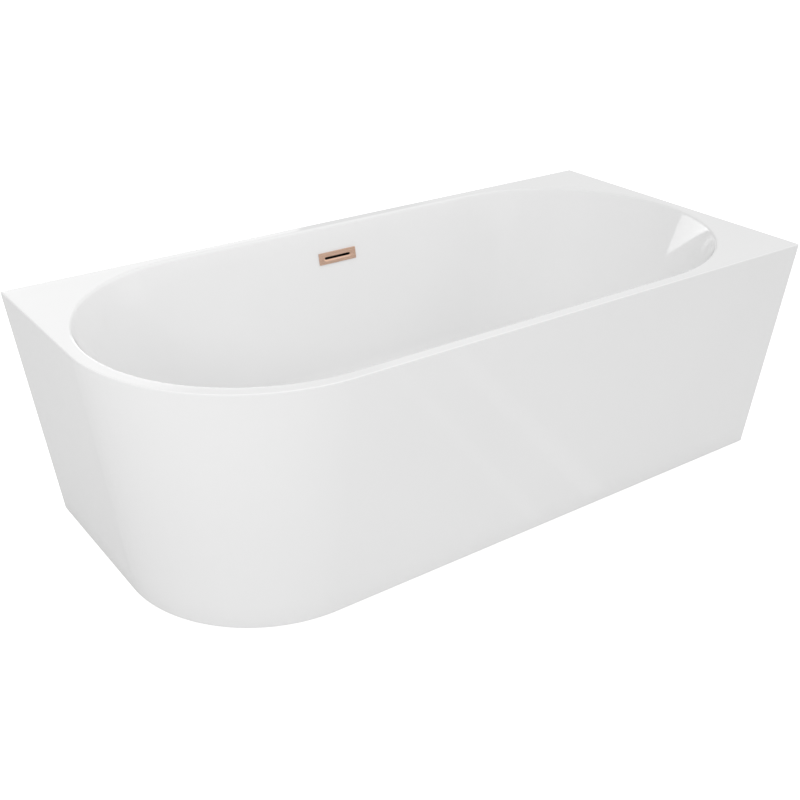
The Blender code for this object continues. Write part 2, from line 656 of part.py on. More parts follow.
def build_overflow():
    plate = holed_plate(rectangle(PLATE_WIDTH, PLATE_TALL), slot_outline(SLOT_WIDTH, SLOT_TALL),
                        GAP, GAP + PLATE_THICK)
    add_object("overflow_plate", plate, ROSE_GOLD, overflow_place())
    port = rectangle(PORT_WIDTH, PORT_TALL)
    gasket = holed_plate(rectangle(HOUSING_WIDTH, HOUSING_TALL), port, 0, OVERFLOW_GASKET)
    depth = SHELL + GAP + OVERFLOW_GASKET
    add_object("overflow_gasket", gasket, RUBBER, overflow_place(depth))

    place = overflow_place(depth + GAP)
    housing = add_object("overflow_housing", box(HOUSING_WIDTH, HOUSING_TALL, -HOUSING_DEEP, 0),
                         BLACK_PLASTIC, place)
    down = Matrix.Translation(housing_middle()) @ Matrix.Rotation(math.pi, 4, "X")
    combine(housing, "UNION", rod(HOSE_RADIUS, 0, SPIGOT_LENGTH), down)
    twice = 2 * HOUSING_WALL
    hollow = box(HOUSING_WIDTH - twice, HOUSING_TALL - twice, HOUSING_WALL - HOUSING_DEEP, HOUSING_WALL)
    combine(housing, "DIFFERENCE", hollow, place)
    combine(housing, "DIFFERENCE", rod(HOSE_BORE, 0, SPIGOT_LENGTH + GAP), down)


def hose_route():
    """A cubic curve from the housing's spigot, straight down, to the waste body's port, level."""
    top = housing_middle() - Vector((0, 0, SPIGOT_LENGTH + GAP))
    end = Vector((0, WASTE_Y + WASTE_BODY_RADIUS + HOSE_PORT_REACH + GAP, HOSE_PORT_Z))
    down = Vector((0, top.y, end.z + (top.z - end.z) * 0.06))
    level = Vector((0, end.y + (top.y - end.y) * 0.79, end.z))
    points = []
    for i in range(HOSE_POINTS + 1):
        t = i / HOSE_POINTS
        u = 1 - t
        points.append(top * u ** 3 + down * 3 * u * u * t + level * 3 * u * t * t + end * t ** 3)
    return points


def build_hose():
    curve = bpy.data.curves.new("overflow_hose", "CURVE")
    curve.dimensions = "3D"
    curve.bevel_depth = HOSE_RADIUS
    curve.bevel_resolution = 2
    curve.use_fill_caps = True
    route = hose_route()
    spline = curve.splines.new("POLY")
    spline.points.add(len(route) - 1)
    for point, place in zip(spline.points, route):
        point.co = (*place, 1)
    spline.use_smooth = True
    curve.materials.append(material(GREY_PLASTIC))
    hose = bpy.data.objects.new("overflow_hose", curve)
    bpy.context.scene.collection.objects.link(hose)

    half = HOSE_NUT_LENGTH / 2
    inner, outer = HOSE_RADIUS + 2 * GAP, HOSE_RADIUS + HOSE_NUT_WALL
    add_object("hose_nut_top", ring(inner, outer, -half, half), GREY_PLASTIC, Matrix.Translation(route[0]))
    level = Matrix.Translation(route[-1]) @ TURN_Z_TO_Y
    add_object("hose_nut_bottom", ring(inner, outer, -half, half), GREY_PLASTIC, level)


def main():
    clear_scene()
    build_basin()
    build_skirt()
    build_board()
    build_underframe()
    build_screws()
    build_feet()
    build_waste()
    build_trap()
    build_overflow()
    build_hose()


main()
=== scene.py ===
"""Looks of the freestanding corner bathtub: glossy white acrylic with a rose gold overflow and waste."""

import json
import math

import bmesh
import bpy
from mathutils import Matrix, Vector

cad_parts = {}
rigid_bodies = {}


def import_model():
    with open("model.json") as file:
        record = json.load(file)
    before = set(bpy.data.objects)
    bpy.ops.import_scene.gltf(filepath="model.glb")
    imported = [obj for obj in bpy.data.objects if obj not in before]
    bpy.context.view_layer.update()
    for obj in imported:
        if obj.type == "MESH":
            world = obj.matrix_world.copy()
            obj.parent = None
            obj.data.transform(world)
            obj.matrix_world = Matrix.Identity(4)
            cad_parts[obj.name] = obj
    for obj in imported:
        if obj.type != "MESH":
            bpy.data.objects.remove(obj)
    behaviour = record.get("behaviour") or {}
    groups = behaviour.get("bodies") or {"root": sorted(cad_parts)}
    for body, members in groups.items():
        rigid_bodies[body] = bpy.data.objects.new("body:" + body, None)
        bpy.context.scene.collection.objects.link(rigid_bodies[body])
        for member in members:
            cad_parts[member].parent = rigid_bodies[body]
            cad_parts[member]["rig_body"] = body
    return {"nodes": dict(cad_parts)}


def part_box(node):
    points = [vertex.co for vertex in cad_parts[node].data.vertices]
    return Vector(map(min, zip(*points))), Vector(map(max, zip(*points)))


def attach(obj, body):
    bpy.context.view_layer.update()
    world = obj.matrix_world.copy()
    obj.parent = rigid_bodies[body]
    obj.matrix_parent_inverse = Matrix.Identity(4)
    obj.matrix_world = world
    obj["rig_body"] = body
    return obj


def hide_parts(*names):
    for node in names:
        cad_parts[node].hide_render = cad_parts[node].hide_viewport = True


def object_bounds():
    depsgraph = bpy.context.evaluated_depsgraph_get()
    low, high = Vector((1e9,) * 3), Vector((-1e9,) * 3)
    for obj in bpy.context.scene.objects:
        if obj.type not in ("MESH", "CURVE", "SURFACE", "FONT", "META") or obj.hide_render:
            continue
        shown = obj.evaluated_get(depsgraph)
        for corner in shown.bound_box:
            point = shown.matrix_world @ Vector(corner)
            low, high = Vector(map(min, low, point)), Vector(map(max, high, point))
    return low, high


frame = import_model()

cad_low, cad_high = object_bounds()

# The tub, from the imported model
HEIGHT = cad_high.z
HALF_LENGTH = (cad_high.x - cad_low.x) / 2
HALF_WIDTH = (cad_high.y - cad_low.y) / 2
SKIRT_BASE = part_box("outer_skirt")[0].z
BOARD_LOW, BOARD_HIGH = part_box("base_board")
UNDERSIDE_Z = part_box("basin_shell")[0].z

# Shape of the shells
FRONT_TAPER = 0.081
LEFT_TAPER = 0.070
TOP_CORNER_RADIUS = 0.405
BASE_CORNER_RADIUS = 0.325
CORNER_STEPS = 72
EDGE_RADIUS = 0.0028  # of the upright corners
DECK_EDGE = 0.0022  # rounding of the deck's outer edge
EDGE_STEPS = 5
SUPPORT = 0.0015  # flat strip kept beside a rounding
RIM_WIDTH = 0.030
RIM_ROUND = 0.008
RIM_STEPS = 10
SHELL = 0.006
SKIRT_WALL = 0.005
SKIRT_FLANGE = 0.014
SIDE_LEAN = math.radians(11)
END_LEAN = math.radians(24)
FLOOR_FALL = 0.006
FLOOR_FILLET = 0.090
FILLET_STEPS = 22
QUARTER_STEPS = 32
STRAIGHT_STEPS = 12
FLOOR_Z = UNDERSIDE_Z + SHELL
FLOOR_EDGE_Z = FLOOR_Z + FLOOR_FALL
FILLET_CENTRE_Z = FLOOR_EDGE_Z + FLOOR_FILLET
OUTER_FILLET = FILLET_CENTRE_Z - UNDERSIDE_Z
TOUCH = 0.00002  # kept between two pieces that touch

# Camera, at the photograph's view
CAMERA_PLACE = (-1.4966, -2.0226, 1.5136)
CAMERA_AZIMUTH = math.radians(-35.397)
CAMERA_ELEVATION = math.radians(26.855)
CAMERA_LENS = 51.49


# Materials

def new_material(name, colour, roughness, metallic=0.0, **sockets):
    """A Principled material; returns it with its nodes, links and shader."""
    made = bpy.data.materials.new(name)
    made.use_nodes = True
    tree = made.node_tree
    shader = tree.nodes["Principled BSDF"]
    shader.inputs["Base Color"].default_value = (*colour, 1)
    shader.inputs["Roughness"].default_value = roughness
    shader.inputs["Metallic"].default_value = metallic
    for socket, value in sockets.items():
        shader.inputs[socket.replace("_", " ")].default_value = value
    return made, tree, shader


def place_texture(tree, kind, scale, stretch=(1, 1, 1), **settings):
    """A texture in object coordinates, which are metres; scale is features per metre."""
    coordinate = tree.nodes.new("ShaderNodeTexCoord")
    mapping = tree.nodes.new("ShaderNodeMapping")
    mapping.inputs["Scale"].default_value = stretch
    texture = tree.nodes.new(kind)
    texture.inputs["Scale"].default_value = scale
    for socket, value in settings.items():
        texture.inputs[socket.replace("_", " ")].default_value = value
    tree.links.new(coordinate.outputs["Object"], mapping.inputs["Vector"])
    tree.links.new(mapping.outputs["Vector"], texture.inputs["Vector"])
    return texture


def value_range(tree, source, low, high, start=0.3, stop=0.7):
    """Maps a texture's value into a range, for a roughness or a mix."""
    node = tree.nodes.new("ShaderNodeMapRange")
    node.inputs["From Min"].default_value = start
    node.inputs["From Max"].default_value = stop
    node.inputs["To Min"].default_value = low
    node.inputs["To Max"].default_value = high
    tree.links.new(source, node.inputs["Value"])
    return node.outputs["Result"]


def colour_range(tree, shader, source, colours, stops=(0.35, 0.65)):
    """Colours the surface between two or more colours along a texture's value."""
    ramp = tree.nodes.new("ShaderNodeValToRGB")
    elements = ramp.color_ramp.elements
    count = len(colours)
    while len(elements) < count:
        elements.new(0.5)
    for i, colour in enumerate(colours):
        elements[i].position = stops[0] + (stops[1] - stops[0]) * i / (count - 1)
        elements[i].color = (*colour, 1)
    tree.links.new(source, ramp.inputs["Fac"])
    tree.links.new(ramp.outputs["Color"], shader.inputs["Base Color"])


def add_bump(tree, shader, source, strength, distance, under=None):
    """Adds a relief, on top of another if one is given."""
    bump = tree.nodes.new("ShaderNodeBump")
    bump.inputs["Strength"].default_value = strength
    bump.inputs["Distance"].default_value = distance
    tree.links.new(source, bump.inputs["Height"])
    if under:
        tree.links.new(under, bump.inputs["Normal"])
    tree.links.new(bump.outputs["Normal"], shader.inputs["Normal"])
    return bump.outputs["Normal"]


def acrylic():
    made, tree, shader = new_material("white_acrylic", (0.89, 0.89, 0.89), 0.07, IOR=1.49)
    tone = place_texture(tree, "ShaderNodeTexNoise", 1.6, Detail=2.0)
    colour_range(tree, shader, tone.outputs["Fac"], [(0.883, 0.883, 0.883), (0.897, 0.897, 0.897)])
    polish = place_texture(tree, "ShaderNodeTexNoise", 14.0, Detail=4.0)
    tree.links.new(value_range(tree, polish.outputs["Fac"], 0.05, 0.10), shader.inputs["Roughness"])
    wave = place_texture(tree, "ShaderNodeTexNoise", 9.0, Detail=1.0)
    relief = add_bump(tree, shader, wave.outputs["Fac"], 0.10, 0.0010)
    peel = place_texture(tree, "ShaderNodeTexNoise", 420.0, Detail=2.0)
    add_bump(tree, shader, peel.outputs["Fac"], 0.03, 0.00008, relief)
    return made


def fibreglass():
    """The resin-and-strand backing on the hidden side of the shells."""
    made, tree, shader = new_material("fibreglass_backing", (0.72, 0.71, 0.64), 0.6, IOR=1.5)
    strands = place_texture(tree, "ShaderNodeTexNoise", 55.0, (1, 3.0, 1), Detail=8.0, Distortion=2.5)
    colour_range(tree, shader, strands.outputs["Fac"],
                 [(0.60, 0.59, 0.50), (0.74, 0.73, 0.66), (0.80, 0.79, 0.74)], (0.3, 0.72))
    tree.links.new(value_range(tree, strands.outputs["Fac"], 0.42, 0.75), shader.inputs["Roughness"])
    relief = add_bump(tree, shader, strands.outputs["Fac"], 0.7, 0.0012)
    blobs = place_texture(tree, "ShaderNodeTexVoronoi", 24.0)
    add_bump(tree, shader, blobs.outputs["Distance"], 0.25, 0.0015, relief)
    return made


def rose_gold():
    """Satin plating, brushed along X."""
    made, tree, shader = new_material("rose_gold", (0.78, 0.52, 0.40), 0.27, 1.0)
    brush = place_texture(tree, "ShaderNodeTexNoise", 900.0, (0.02, 1, 1), Detail=3.0)
    colour_range(tree, shader, brush.outputs["Fac"], [(0.70, 0.46, 0.34), (0.80, 0.555, 0.43)])
    tree.links.new(value_range(tree, brush.outputs["Fac"], 0.20, 0.34), shader.inputs["Roughness"])
    add_bump(tree, shader, brush.outputs["Fac"], 0.12, 0.00004)
    return made


def slot_painted_shade():
    """Painted shade: the inside of the overflow slot, coloured near-black brown for the shade in it."""
    made, tree, shader = new_material("slot_shadow", (0.02, 0.008, 0.004), 0.6)
    # Painted shade: a dark brown that varies at random, standing for the shade inside the slot.
    shade_noise = place_texture(tree, "ShaderNodeTexNoise", 300.0, Detail=3.0)
    colour_range(tree, shader, shade_noise.outputs["Fac"], [(0.030, 0.010, 0.005), (0.060, 0.022, 0.010)])
    return made


def galvanised():
    """Hot-dip zinc with its crystal spangle."""
    made, tree, shader = new_material("galvanised_steel", (0.6, 0.62, 0.64), 0.38, 1.0)
    spangle = place_texture(tree, "ShaderNodeTexVoronoi", 150.0)
    colour_range(tree, shader, spangle.outputs["Color"],
                 [(0.60, 0.62, 0.64), (0.65, 0.67, 0.69), (0.70, 0.72, 0.74)], (0.2, 0.8))
    tree.links.new(value_range(tree, spangle.outputs["Color"], 0.36, 0.46, 0.2, 0.8),
                   shader.inputs["Roughness"])
    grain = place_texture(tree, "ShaderNodeTexNoise", 700.0, Detail=3.0)
    add_bump(tree, shader, grain.outputs["Fac"], 0.12, 0.00006)
    return made


def zinc():
    """Bright zinc plating on rods, nuts and screws."""
    made, tree, shader = new_material("zinc_plating", (0.72, 0.72, 0.70), 0.26, 1.0)
    tint = place_texture(tree, "ShaderNodeTexNoise", 60.0, Detail=3.0)
    colour_range(tree, shader, tint.outputs["Fac"], [(0.66, 0.66, 0.62), (0.76, 0.76, 0.77)])
    tree.links.new(value_range(tree, tint.outputs["Fac"], 0.20, 0.36), shader.inputs["Roughness"])
    return made


def polished_steel():
    made, tree, shader = new_material("polished_steel", (0.80, 0.80, 0.81), 0.12, 1.0)
    lines = place_texture(tree, "ShaderNodeTexNoise", 1200.0, (1, 1, 0.05), Detail=2.0)
    colour_range(tree, shader, lines.outputs["Fac"], [(0.76, 0.76, 0.77), (0.84, 0.84, 0.85)])
    tree.links.new(value_range(tree, lines.outputs["Fac"], 0.08, 0.18), shader.inputs["Roughness"])
    return made


def rubber():
    made, tree, shader = new_material("black_rubber", (0.03, 0.03, 0.03), 0.7, IOR=1.5)
    dust = place_texture(tree, "ShaderNodeTexNoise", 120.0, Detail=5.0)
    colour_range(tree, shader, dust.outputs["Fac"], [(0.018, 0.018, 0.018), (0.045, 0.044, 0.042)])
    tree.links.new(value_range(tree, dust.outputs["Fac"], 0.55, 0.80), shader.inputs["Roughness"])
    grain = place_texture(tree, "ShaderNodeTexNoise", 1500.0, Detail=2.0)
    add_bump(tree, shader, grain.outputs["Fac"], 0.2, 0.00008)
    return made


def plastic(name, dark, light):
    """Moulded plastic with a fine spark-eroded texture."""
    made, tree, shader = new_material(name, light, 0.4, IOR=1.49)
    tone = place_texture(tree, "ShaderNodeTexNoise", 35.0, Detail=3.0)
    colour_range(tree, shader, tone.outputs["Fac"], [dark, light])
    tree.links.new(value_range(tree, tone.outputs["Fac"], 0.32, 0.48), shader.inputs["Roughness"])
    texture = place_texture(tree, "ShaderNodeTexNoise", 1800.0, Detail=2.0)
    add_bump(tree, shader, texture.outputs["Fac"], 0.15, 0.00006)
    return made


def board_face():
    """Resin-coated fibre board."""
    made, tree, shader = new_material("coated_board", (0.62, 0.50, 0.34), 0.6, IOR=1.5)
    chips = place_texture(tree, "ShaderNodeTexNoise", 130.0, (1, 2.2, 1), Detail=7.0, Distortion=1.2)
    colour_range(tree, shader, chips.outputs["Fac"],
                 [(0.40, 0.29, 0.17), (0.60, 0.47, 0.31), (0.70, 0.58, 0.42)], (0.32, 0.7))
    tree.links.new(value_range(tree, chips.outputs["Fac"], 0.38, 0.62), shader.inputs["Roughness"])
    add_bump(tree, shader, chips.outputs["Fac"], 0.35, 0.0003)
    return made


ACRYLIC = acrylic()
FIBREGLASS = fibreglass()
ROSE_GOLD = rose_gold()
SLOT_PAINTED_SHADE = slot_painted_shade()
GALVANISED = galvanised()
ZINC = zinc()
POLISHED_STEEL = polished_steel()
RUBBER = rubber()
WHITE_PLASTIC = plastic("white_plastic", (0.72, 0.72, 0.70), (0.80, 0.80, 0.78))
GREY_PLASTIC = plastic("grey_plastic", (0.27, 0.28, 0.29), (0.36, 0.37, 0.38))
# Painted shade: the overflow housing is coloured near-black in place of its own white, so the hollow behind
# the slot reads dark.
HOUSING_PAINTED_SHADE = plastic("black_plastic", (0.012, 0.012, 0.012), (0.03, 0.03, 0.03))
BOARD = board_face()


# Shapes

def loft_faces(bm, rings, closed):
    """Quads between rings of equal size; returns the rings' vertices."""
    loops = [[bm.verts.new(point) for point in ring] for ring in rings]
    pairs = list(zip(loops, loops[1:]))
    if closed:
        pairs.append((loops[-1], loops[0]))
    for lower, upper in pairs:
        for i in range(len(lower)):
            j = (i + 1) % len(lower)
            bm.faces.new((lower[i], lower[j], upper[j], upper[i]))
    return loops


def fill_between(bm, *loops):
    """Fills the flat face between closed loops of vertices."""
    edges = []
    for loop in loops:
        for a, b in zip(loop, loop[1:] + loop[:1]):
            edges.append(bm.edges.get((a, b)) or bm.edges.new((a, b)))
    bmesh.ops.triangle_fill(bm, edges=edges, use_beauty=True)


def piece(name, bm, materials, node, place=None, angle=35):
    """Makes a bmesh a piece that stands for a CAD node and rides on its body."""
    bmesh.ops.recalc_face_normals(bm, faces=bm.faces)
    mesh = bpy.data.meshes.new(name)
    bm.to_mesh(mesh)
    bm.free()
    for made in materials:
        mesh.materials.append(made)
    mesh.shade_smooth()
    mesh.set_sharp_from_angle(angle=math.radians(angle))
    obj = bpy.data.objects.new(name, mesh)
    bpy.context.scene.collection.objects.link(obj)
    if place is not None:
        obj.matrix_world = place
    bpy.context.view_layer.update()
    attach(obj, frame["nodes"][node]["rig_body"])
    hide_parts(node)
    return obj


def arc(centre, radius, start, stop, steps):
    """Points of an arc in a plane, its ends included."""
    turns = [start + (stop - start) * i / steps for i in range(steps + 1)]
    return [(centre[0] + radius * math.cos(a), centre[1] + radius * math.sin(a)) for a in turns]


def rounded(points, radii, steps=4):
    """A closed outline with its corners rounded. A radius of 0 keeps a corner sharp."""
    made = []
    count = len(points)
    for i, (point, radius) in enumerate(zip(points, radii)):
        here = Vector(point)
        before, after = Vector(points[i - 1]) - here, Vector(points[(i + 1) % count]) - here
        turn = before.angle(after)
        if radius == 0 or turn > math.pi - 0.01:
            made.append(tuple(here))
            continue
        reach = min(radius / math.tan(turn / 2), before.length * 0.49, after.length * 0.49)
        start, stop = here + before.normalized() * reach, here + after.normalized() * reach
        for k in range(steps + 1):
            t = k / steps
            blend = start * (1 - t) ** 2 + here * 2 * t * (1 - t) + stop * t * t
            made.append(tuple(blend))
    return made


def circle(radius, z, steps):
    """Points of a circle about Z."""
    turns = [2 * math.pi * i / steps for i in range(steps)]
    return [(radius * math.cos(a), radius * math.sin(a), z) for a in turns]


def rectangle(width, tall):
    w, t = width / 2, tall / 2
    return [(-w, -t), (w, -t), (w, t), (-w, t)]


def turned(profile, steps=64, radii=None, closed=True):
    """A (radius, z) profile turned about Z, with rounded corners."""
    bm = bmesh.new()
    if radii is not None:
        profile = rounded(profile, radii)
    loops = loft_faces(bm, [circle(r, z, steps) for r, z in profile], closed)
    if not closed:
        bm.faces.new(loops[0])
        bm.faces.new(loops[-1])
    return bm


def extruded(outline, holes, z0, z1, edge=0.0, steps=3):
    """A flat plate of an outline with holes, its outer edges rounded over by an edge radius."""
    bm = bmesh.new()
    low, high = [], []
    for outside, loop in [(True, outline)] + [(False, hole) for hole in holes]:
        rings = []
        for k in range(steps + 1):
            a = math.pi / 2 * k / steps
            rings.append((edge * (1 - math.sin(a)), z0 + edge * (1 - math.cos(a))))
        rings += [(inset, z0 + z1 - z) for inset, z in reversed(rings)]
        if edge == 0:
            rings = [(0, z0), (0, z1)]
        shapes = [offset_loop(loop, inset if outside else -inset, z) for inset, z in rings]
        loops = loft_faces(bm, shapes, False)
        low.append(loops[0])
        high.append(loops[-1])
    fill_between(bm, *low)
    fill_between(bm, *high)
    return bm


def offset_loop(loop, inset, z):
    """A closed counter-clockwise outline moved inwards by a distance."""
    made = []
    count = len(loop)
    for i in range(count):
        before, here, after = Vector(loop[i - 1]), Vector(loop[i]), Vector(loop[(i + 1) % count])
        first, second = (here - before).normalized(), (after - here).normalized()
        normals = Vector((-first.y, first.x)), Vector((-second.y, second.x))
        middle = (normals[0] + normals[1]).normalized()
        reach = inset / max(middle.dot(normals[0]), 0.3)
        made.append((here.x + middle.x * reach, here.y + middle.y * reach, z))
    return made


def cut(obj, operation, bm, place=None):
    """Joins a shape to a piece or cuts it out, and applies the result."""
    bmesh.ops.recalc_face_normals(bm, faces=bm.faces)
    mesh = bpy.data.meshes.new("tool")
    bm.to_mesh(mesh)
    bm.free()
    for made in obj.data.materials:
        mesh.materials.append(made)
    tool = bpy.data.objects.new("tool", mesh)
    bpy.context.scene.collection.objects.link(tool)
    if place is not None:
        tool.matrix_world = place
    modifier = obj.modifiers.new("cut", "BOOLEAN")
    modifier.operation = operation
    modifier.solver = "EXACT"
    modifier.object = tool
    bpy.context.view_layer.update()
    result = bpy.data.meshes.new_from_object(obj.evaluated_get(bpy.context.evaluated_depsgraph_get()))
    obj.modifiers.clear()
    obj.data = result
    obj.data.shade_smooth()
    obj.data.set_sharp_from_angle(angle=math.radians(35))
    bpy.data.objects.remove(tool, do_unlink=True)


def at(x, y, z=0.0):
    return Matrix.Translation((x, y, z))


def middle(node):
    low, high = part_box(node)
    return (low + high) / 2


# Basin and skirt

def lean_at(z):
    """0 at the deck, 1 at the skirt's base."""
    return (HEIGHT - z) / (HEIGHT - SKIRT_BASE)


def outer_outline(z, inset):
    """The tub's outer outline at a height, inside its face by an inset, corners rounded."""
    lean = lean_at(z)
    left = LEFT_TAPER * lean + inset - HALF_LENGTH
    front = FRONT_TAPER * lean + inset - HALF_WIDTH
    right, back = HALF_LENGTH - inset, HALF_WIDTH - inset
    big = TOP_CORNER_RADIUS + (BASE_CORNER_RADIUS - TOP_CORNER_RADIUS) * lean - inset
    small = max(EDGE_RADIUS - inset, 0.0004)
    corners = (((right, front), small, -0.5), ((right, back), small, 0.0), ((left, back), small, 0.5),
               ((left, front), big, 1.0))
    points = []
    for (x, y), radius, start in corners:
        a = start * math.pi
        centre = (x - math.copysign(radius, x), y - math.copysign(radius, y))
        if radius == big:
            points += arc(centre, radius, a, a + math.pi / 2, CORNER_STEPS)
            continue
        along = Vector((math.sin(a), -math.cos(a)))
        across = Vector((-math.sin(a + math.pi / 2), math.cos(a + math.pi / 2)))
        curve = arc(centre, radius, a, a + math.pi / 2, EDGE_STEPS)
        first, last = Vector(curve[0]), Vector(curve[-1])
        points += [tuple(first + along * SUPPORT)] + curve + [tuple(last + across * SUPPORT)]
    return [(x, y, z) for x, y in points]


def wall_inset(z, lean, thickness=0.0, fillet=FLOOR_FILLET):
    """How far a wall stands in from the rim's edge at a height."""
    if z > FILLET_CENTRE_Z - fillet * math.sin(lean):
        return (HEIGHT - z) * math.tan(lean) - thickness / math.cos(lean)
    centre = (HEIGHT - FILLET_CENTRE_Z) * math.tan(lean) + (fillet - thickness) / math.cos(lean)
    drop = min(FILLET_CENTRE_Z - z, fillet)
    return centre - math.sqrt(fillet ** 2 - drop ** 2)


def rim_inset(z, lean):
    """The same within the rim's rounding."""
    turn = math.pi / 2 - lean
    rise = z - (HEIGHT - RIM_ROUND)
    if rise < RIM_ROUND * math.cos(turn):
        return wall_inset(z, lean)
    return math.sqrt(max(RIM_ROUND ** 2 - rise ** 2, 0)) - RIM_ROUND * math.tan(turn / 2)


def stadium(side_inset, end_inset, z):
    """The basin's outline, two round ends and straight sides."""
    radius = HALF_WIDTH - RIM_WIDTH - side_inset
    centre = HALF_LENGTH - RIM_WIDTH - end_inset - radius
    points = []
    for side in (1, -1):
        start = -side * math.pi / 2
        points += arc((side * centre, 0), radius, start, start + math.pi, 2 * QUARTER_STEPS)
        for i in range(1, STRAIGHT_STEPS):
            points.append((side * centre * (1 - 2 * i / STRAIGHT_STEPS), side * radius))
    return [(x, y, z) for x, y in points]


def wall_ring(z, thickness=0.0, fillet=FLOOR_FILLET):
    side = wall_inset(z, SIDE_LEAN, thickness, fillet)
    return stadium(side, wall_inset(z, END_LEAN, thickness, fillet), z)


def waste_ring(radius, z):
    """A circle round the waste with as many points as a stadium."""
    count = 4 * QUARTER_STEPS + 2 * STRAIGHT_STEPS
    turns = [2 * math.pi * (i + STRAIGHT_STEPS / 2) / count - math.pi / 2 for i in range(count)]
    return [(WASTE.x + radius * math.cos(a), WASTE.y + radius * math.sin(a), z) for a in turns]


def between(first, second, share, z):
    return [(a[0] + (b[0] - a[0]) * share, a[1] + (b[1] - a[1]) * share, z) for a, b in zip(first, second)]


def fillet_rings(radius, thickness, steps):
    rings = []
    for i in range(steps + 1):
        turn = SIDE_LEAN + (math.pi / 2 - SIDE_LEAN) * i / steps
        rings.append(wall_ring(FILLET_CENTRE_Z - radius * math.sin(turn), thickness, radius))
    return rings


WASTE = middle("waste_flange")
FLANGE_RADIUS = (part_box("waste_flange")[1].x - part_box("waste_flange")[0].x) / 2
FLANGE_TOP_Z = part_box("waste_flange")[1].z
TAIL_RADIUS = 0.0240
FLANGE_BORE = 0.0205
PLUG_SEAT = 0.0220
DRAIN_HOLE = TAIL_RADIUS + 0.001
WASTE_DISH = 0.012  # flat floor round the flange
RECESS_Z = FLOOR_Z - 0.0025
WALL_ROWS = 10
FLOOR_ROWS = 8

# The overflow's frame on the back wall: X along it, Y up it, Z into the bath
PLATE_LOW, PLATE_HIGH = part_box("overflow_plate")
OVERFLOW_Z = (PLATE_LOW.z + PLATE_HIGH.z) / 2 - 0.0018 * math.sin(SIDE_LEAN)
PORT = (0.084, 0.014)  # the opening behind the plate
PORT_CORNER = 0.003


def overflow_place(depth=0.0):
    y = HALF_WIDTH - RIM_WIDTH - (HEIGHT - OVERFLOW_Z) * math.tan(SIDE_LEAN)
    return at(0, y, OVERFLOW_Z) @ Matrix.Rotation(math.pi / 2 - SIDE_LEAN, 4, "X") @ at(0, 0, -depth)


def rim_ring(step):
    turn = (math.pi / 2 - SIDE_LEAN) * step / RIM_STEPS
    z = HEIGHT - RIM_ROUND * (1 - math.cos(turn))
    return stadium(rim_inset(z, SIDE_LEAN), rim_inset(z, END_LEAN), z)


def inner_rings():
    """From the deck over the rim, down the wall, over the floor and into the waste's recess."""
    inset = rim_inset(HEIGHT, SIDE_LEAN), rim_inset(HEIGHT, END_LEAN)
    rings = [stadium(inset[0] - SUPPORT, inset[1] - SUPPORT, HEIGHT)]
    rings += [rim_ring(step) for step in range(RIM_STEPS + 1)]
    top = rings[-1][0][2]
    foot = FILLET_CENTRE_Z - FLOOR_FILLET * math.sin(SIDE_LEAN)
    rings += [wall_ring(top + (foot - top) * i / WALL_ROWS) for i in range(1, WALL_ROWS)]
    rings += fillet_rings(FLOOR_FILLET, 0.0, FILLET_STEPS)
    dish = waste_ring(FLANGE_RADIUS + WASTE_DISH, FLOOR_Z)
    for i in range(1, FLOOR_ROWS):
        share = i / FLOOR_ROWS
        fall = FLOOR_FALL * (1 - math.cos(math.pi * share)) / 2
        rings.append(between(rings[-i], dish, share, FLOOR_EDGE_Z - fall))
    recess = FLANGE_RADIUS + 0.0003
    rings += [dish, waste_ring(recess + 0.0008, FLOOR_Z), waste_ring(recess, FLOOR_Z - 0.0008),
              waste_ring(recess, RECESS_Z), waste_ring(DRAIN_HOLE, RECESS_Z)]
    return rings


def build_basin():
    bm = bmesh.new()
    seam = HEIGHT - SHELL
    lip = [outer_outline(seam, 0.0), outer_outline(HEIGHT - DECK_EDGE, 0.0)]
    for i in range(1, EDGE_STEPS + 1):
        a = math.pi / 2 * i / EDGE_STEPS
        lip.append(outer_outline(HEIGHT - DECK_EDGE * (1 - math.sin(a)), DECK_EDGE * (1 - math.cos(a))))
    lip.append(outer_outline(HEIGHT, DECK_EDGE + SUPPORT))
    lip_loops = loft_faces(bm, lip, False)
    inner_loops = loft_faces(bm, inner_rings(), False)
    fill_between(bm, lip_loops[-1], inner_loops[0])
    shown = set(bm.faces)
    outer = [waste_ring(DRAIN_HOLE, UNDERSIDE_Z)]
    outer += reversed(fillet_rings(OUTER_FILLET, SHELL, FILLET_STEPS // 2))
    outer.append(wall_ring(seam, SHELL, OUTER_FILLET))
    outer_loops = loft_faces(bm, outer, False)
    low, high = outer_loops[0], inner_loops[-1]
    for i in range(len(low)):
        j = (i + 1) % len(low)
        bm.faces.new((low[i], low[j], high[j], high[i]))
    fill_between(bm, lip_loops[0], outer_loops[-1])
    for face in bm.faces:
        face.material_index = 0 if face in shown else 1
    basin = piece("basin", bm, [ACRYLIC, FIBREGLASS], "basin_shell")
    outline = rounded(rectangle(*PORT), [PORT_CORNER] * 4)
    reach = 3 * SHELL
    cut(basin, "DIFFERENCE", extruded(outline, [], -reach, reach), overflow_place())


SKIRT_ROWS = 10
SKIRT_EDGE = 0.0012  # rounding of the skirt's lower edge
NOTCH_HALF = 0.150
NOTCH_TOP = 0.123


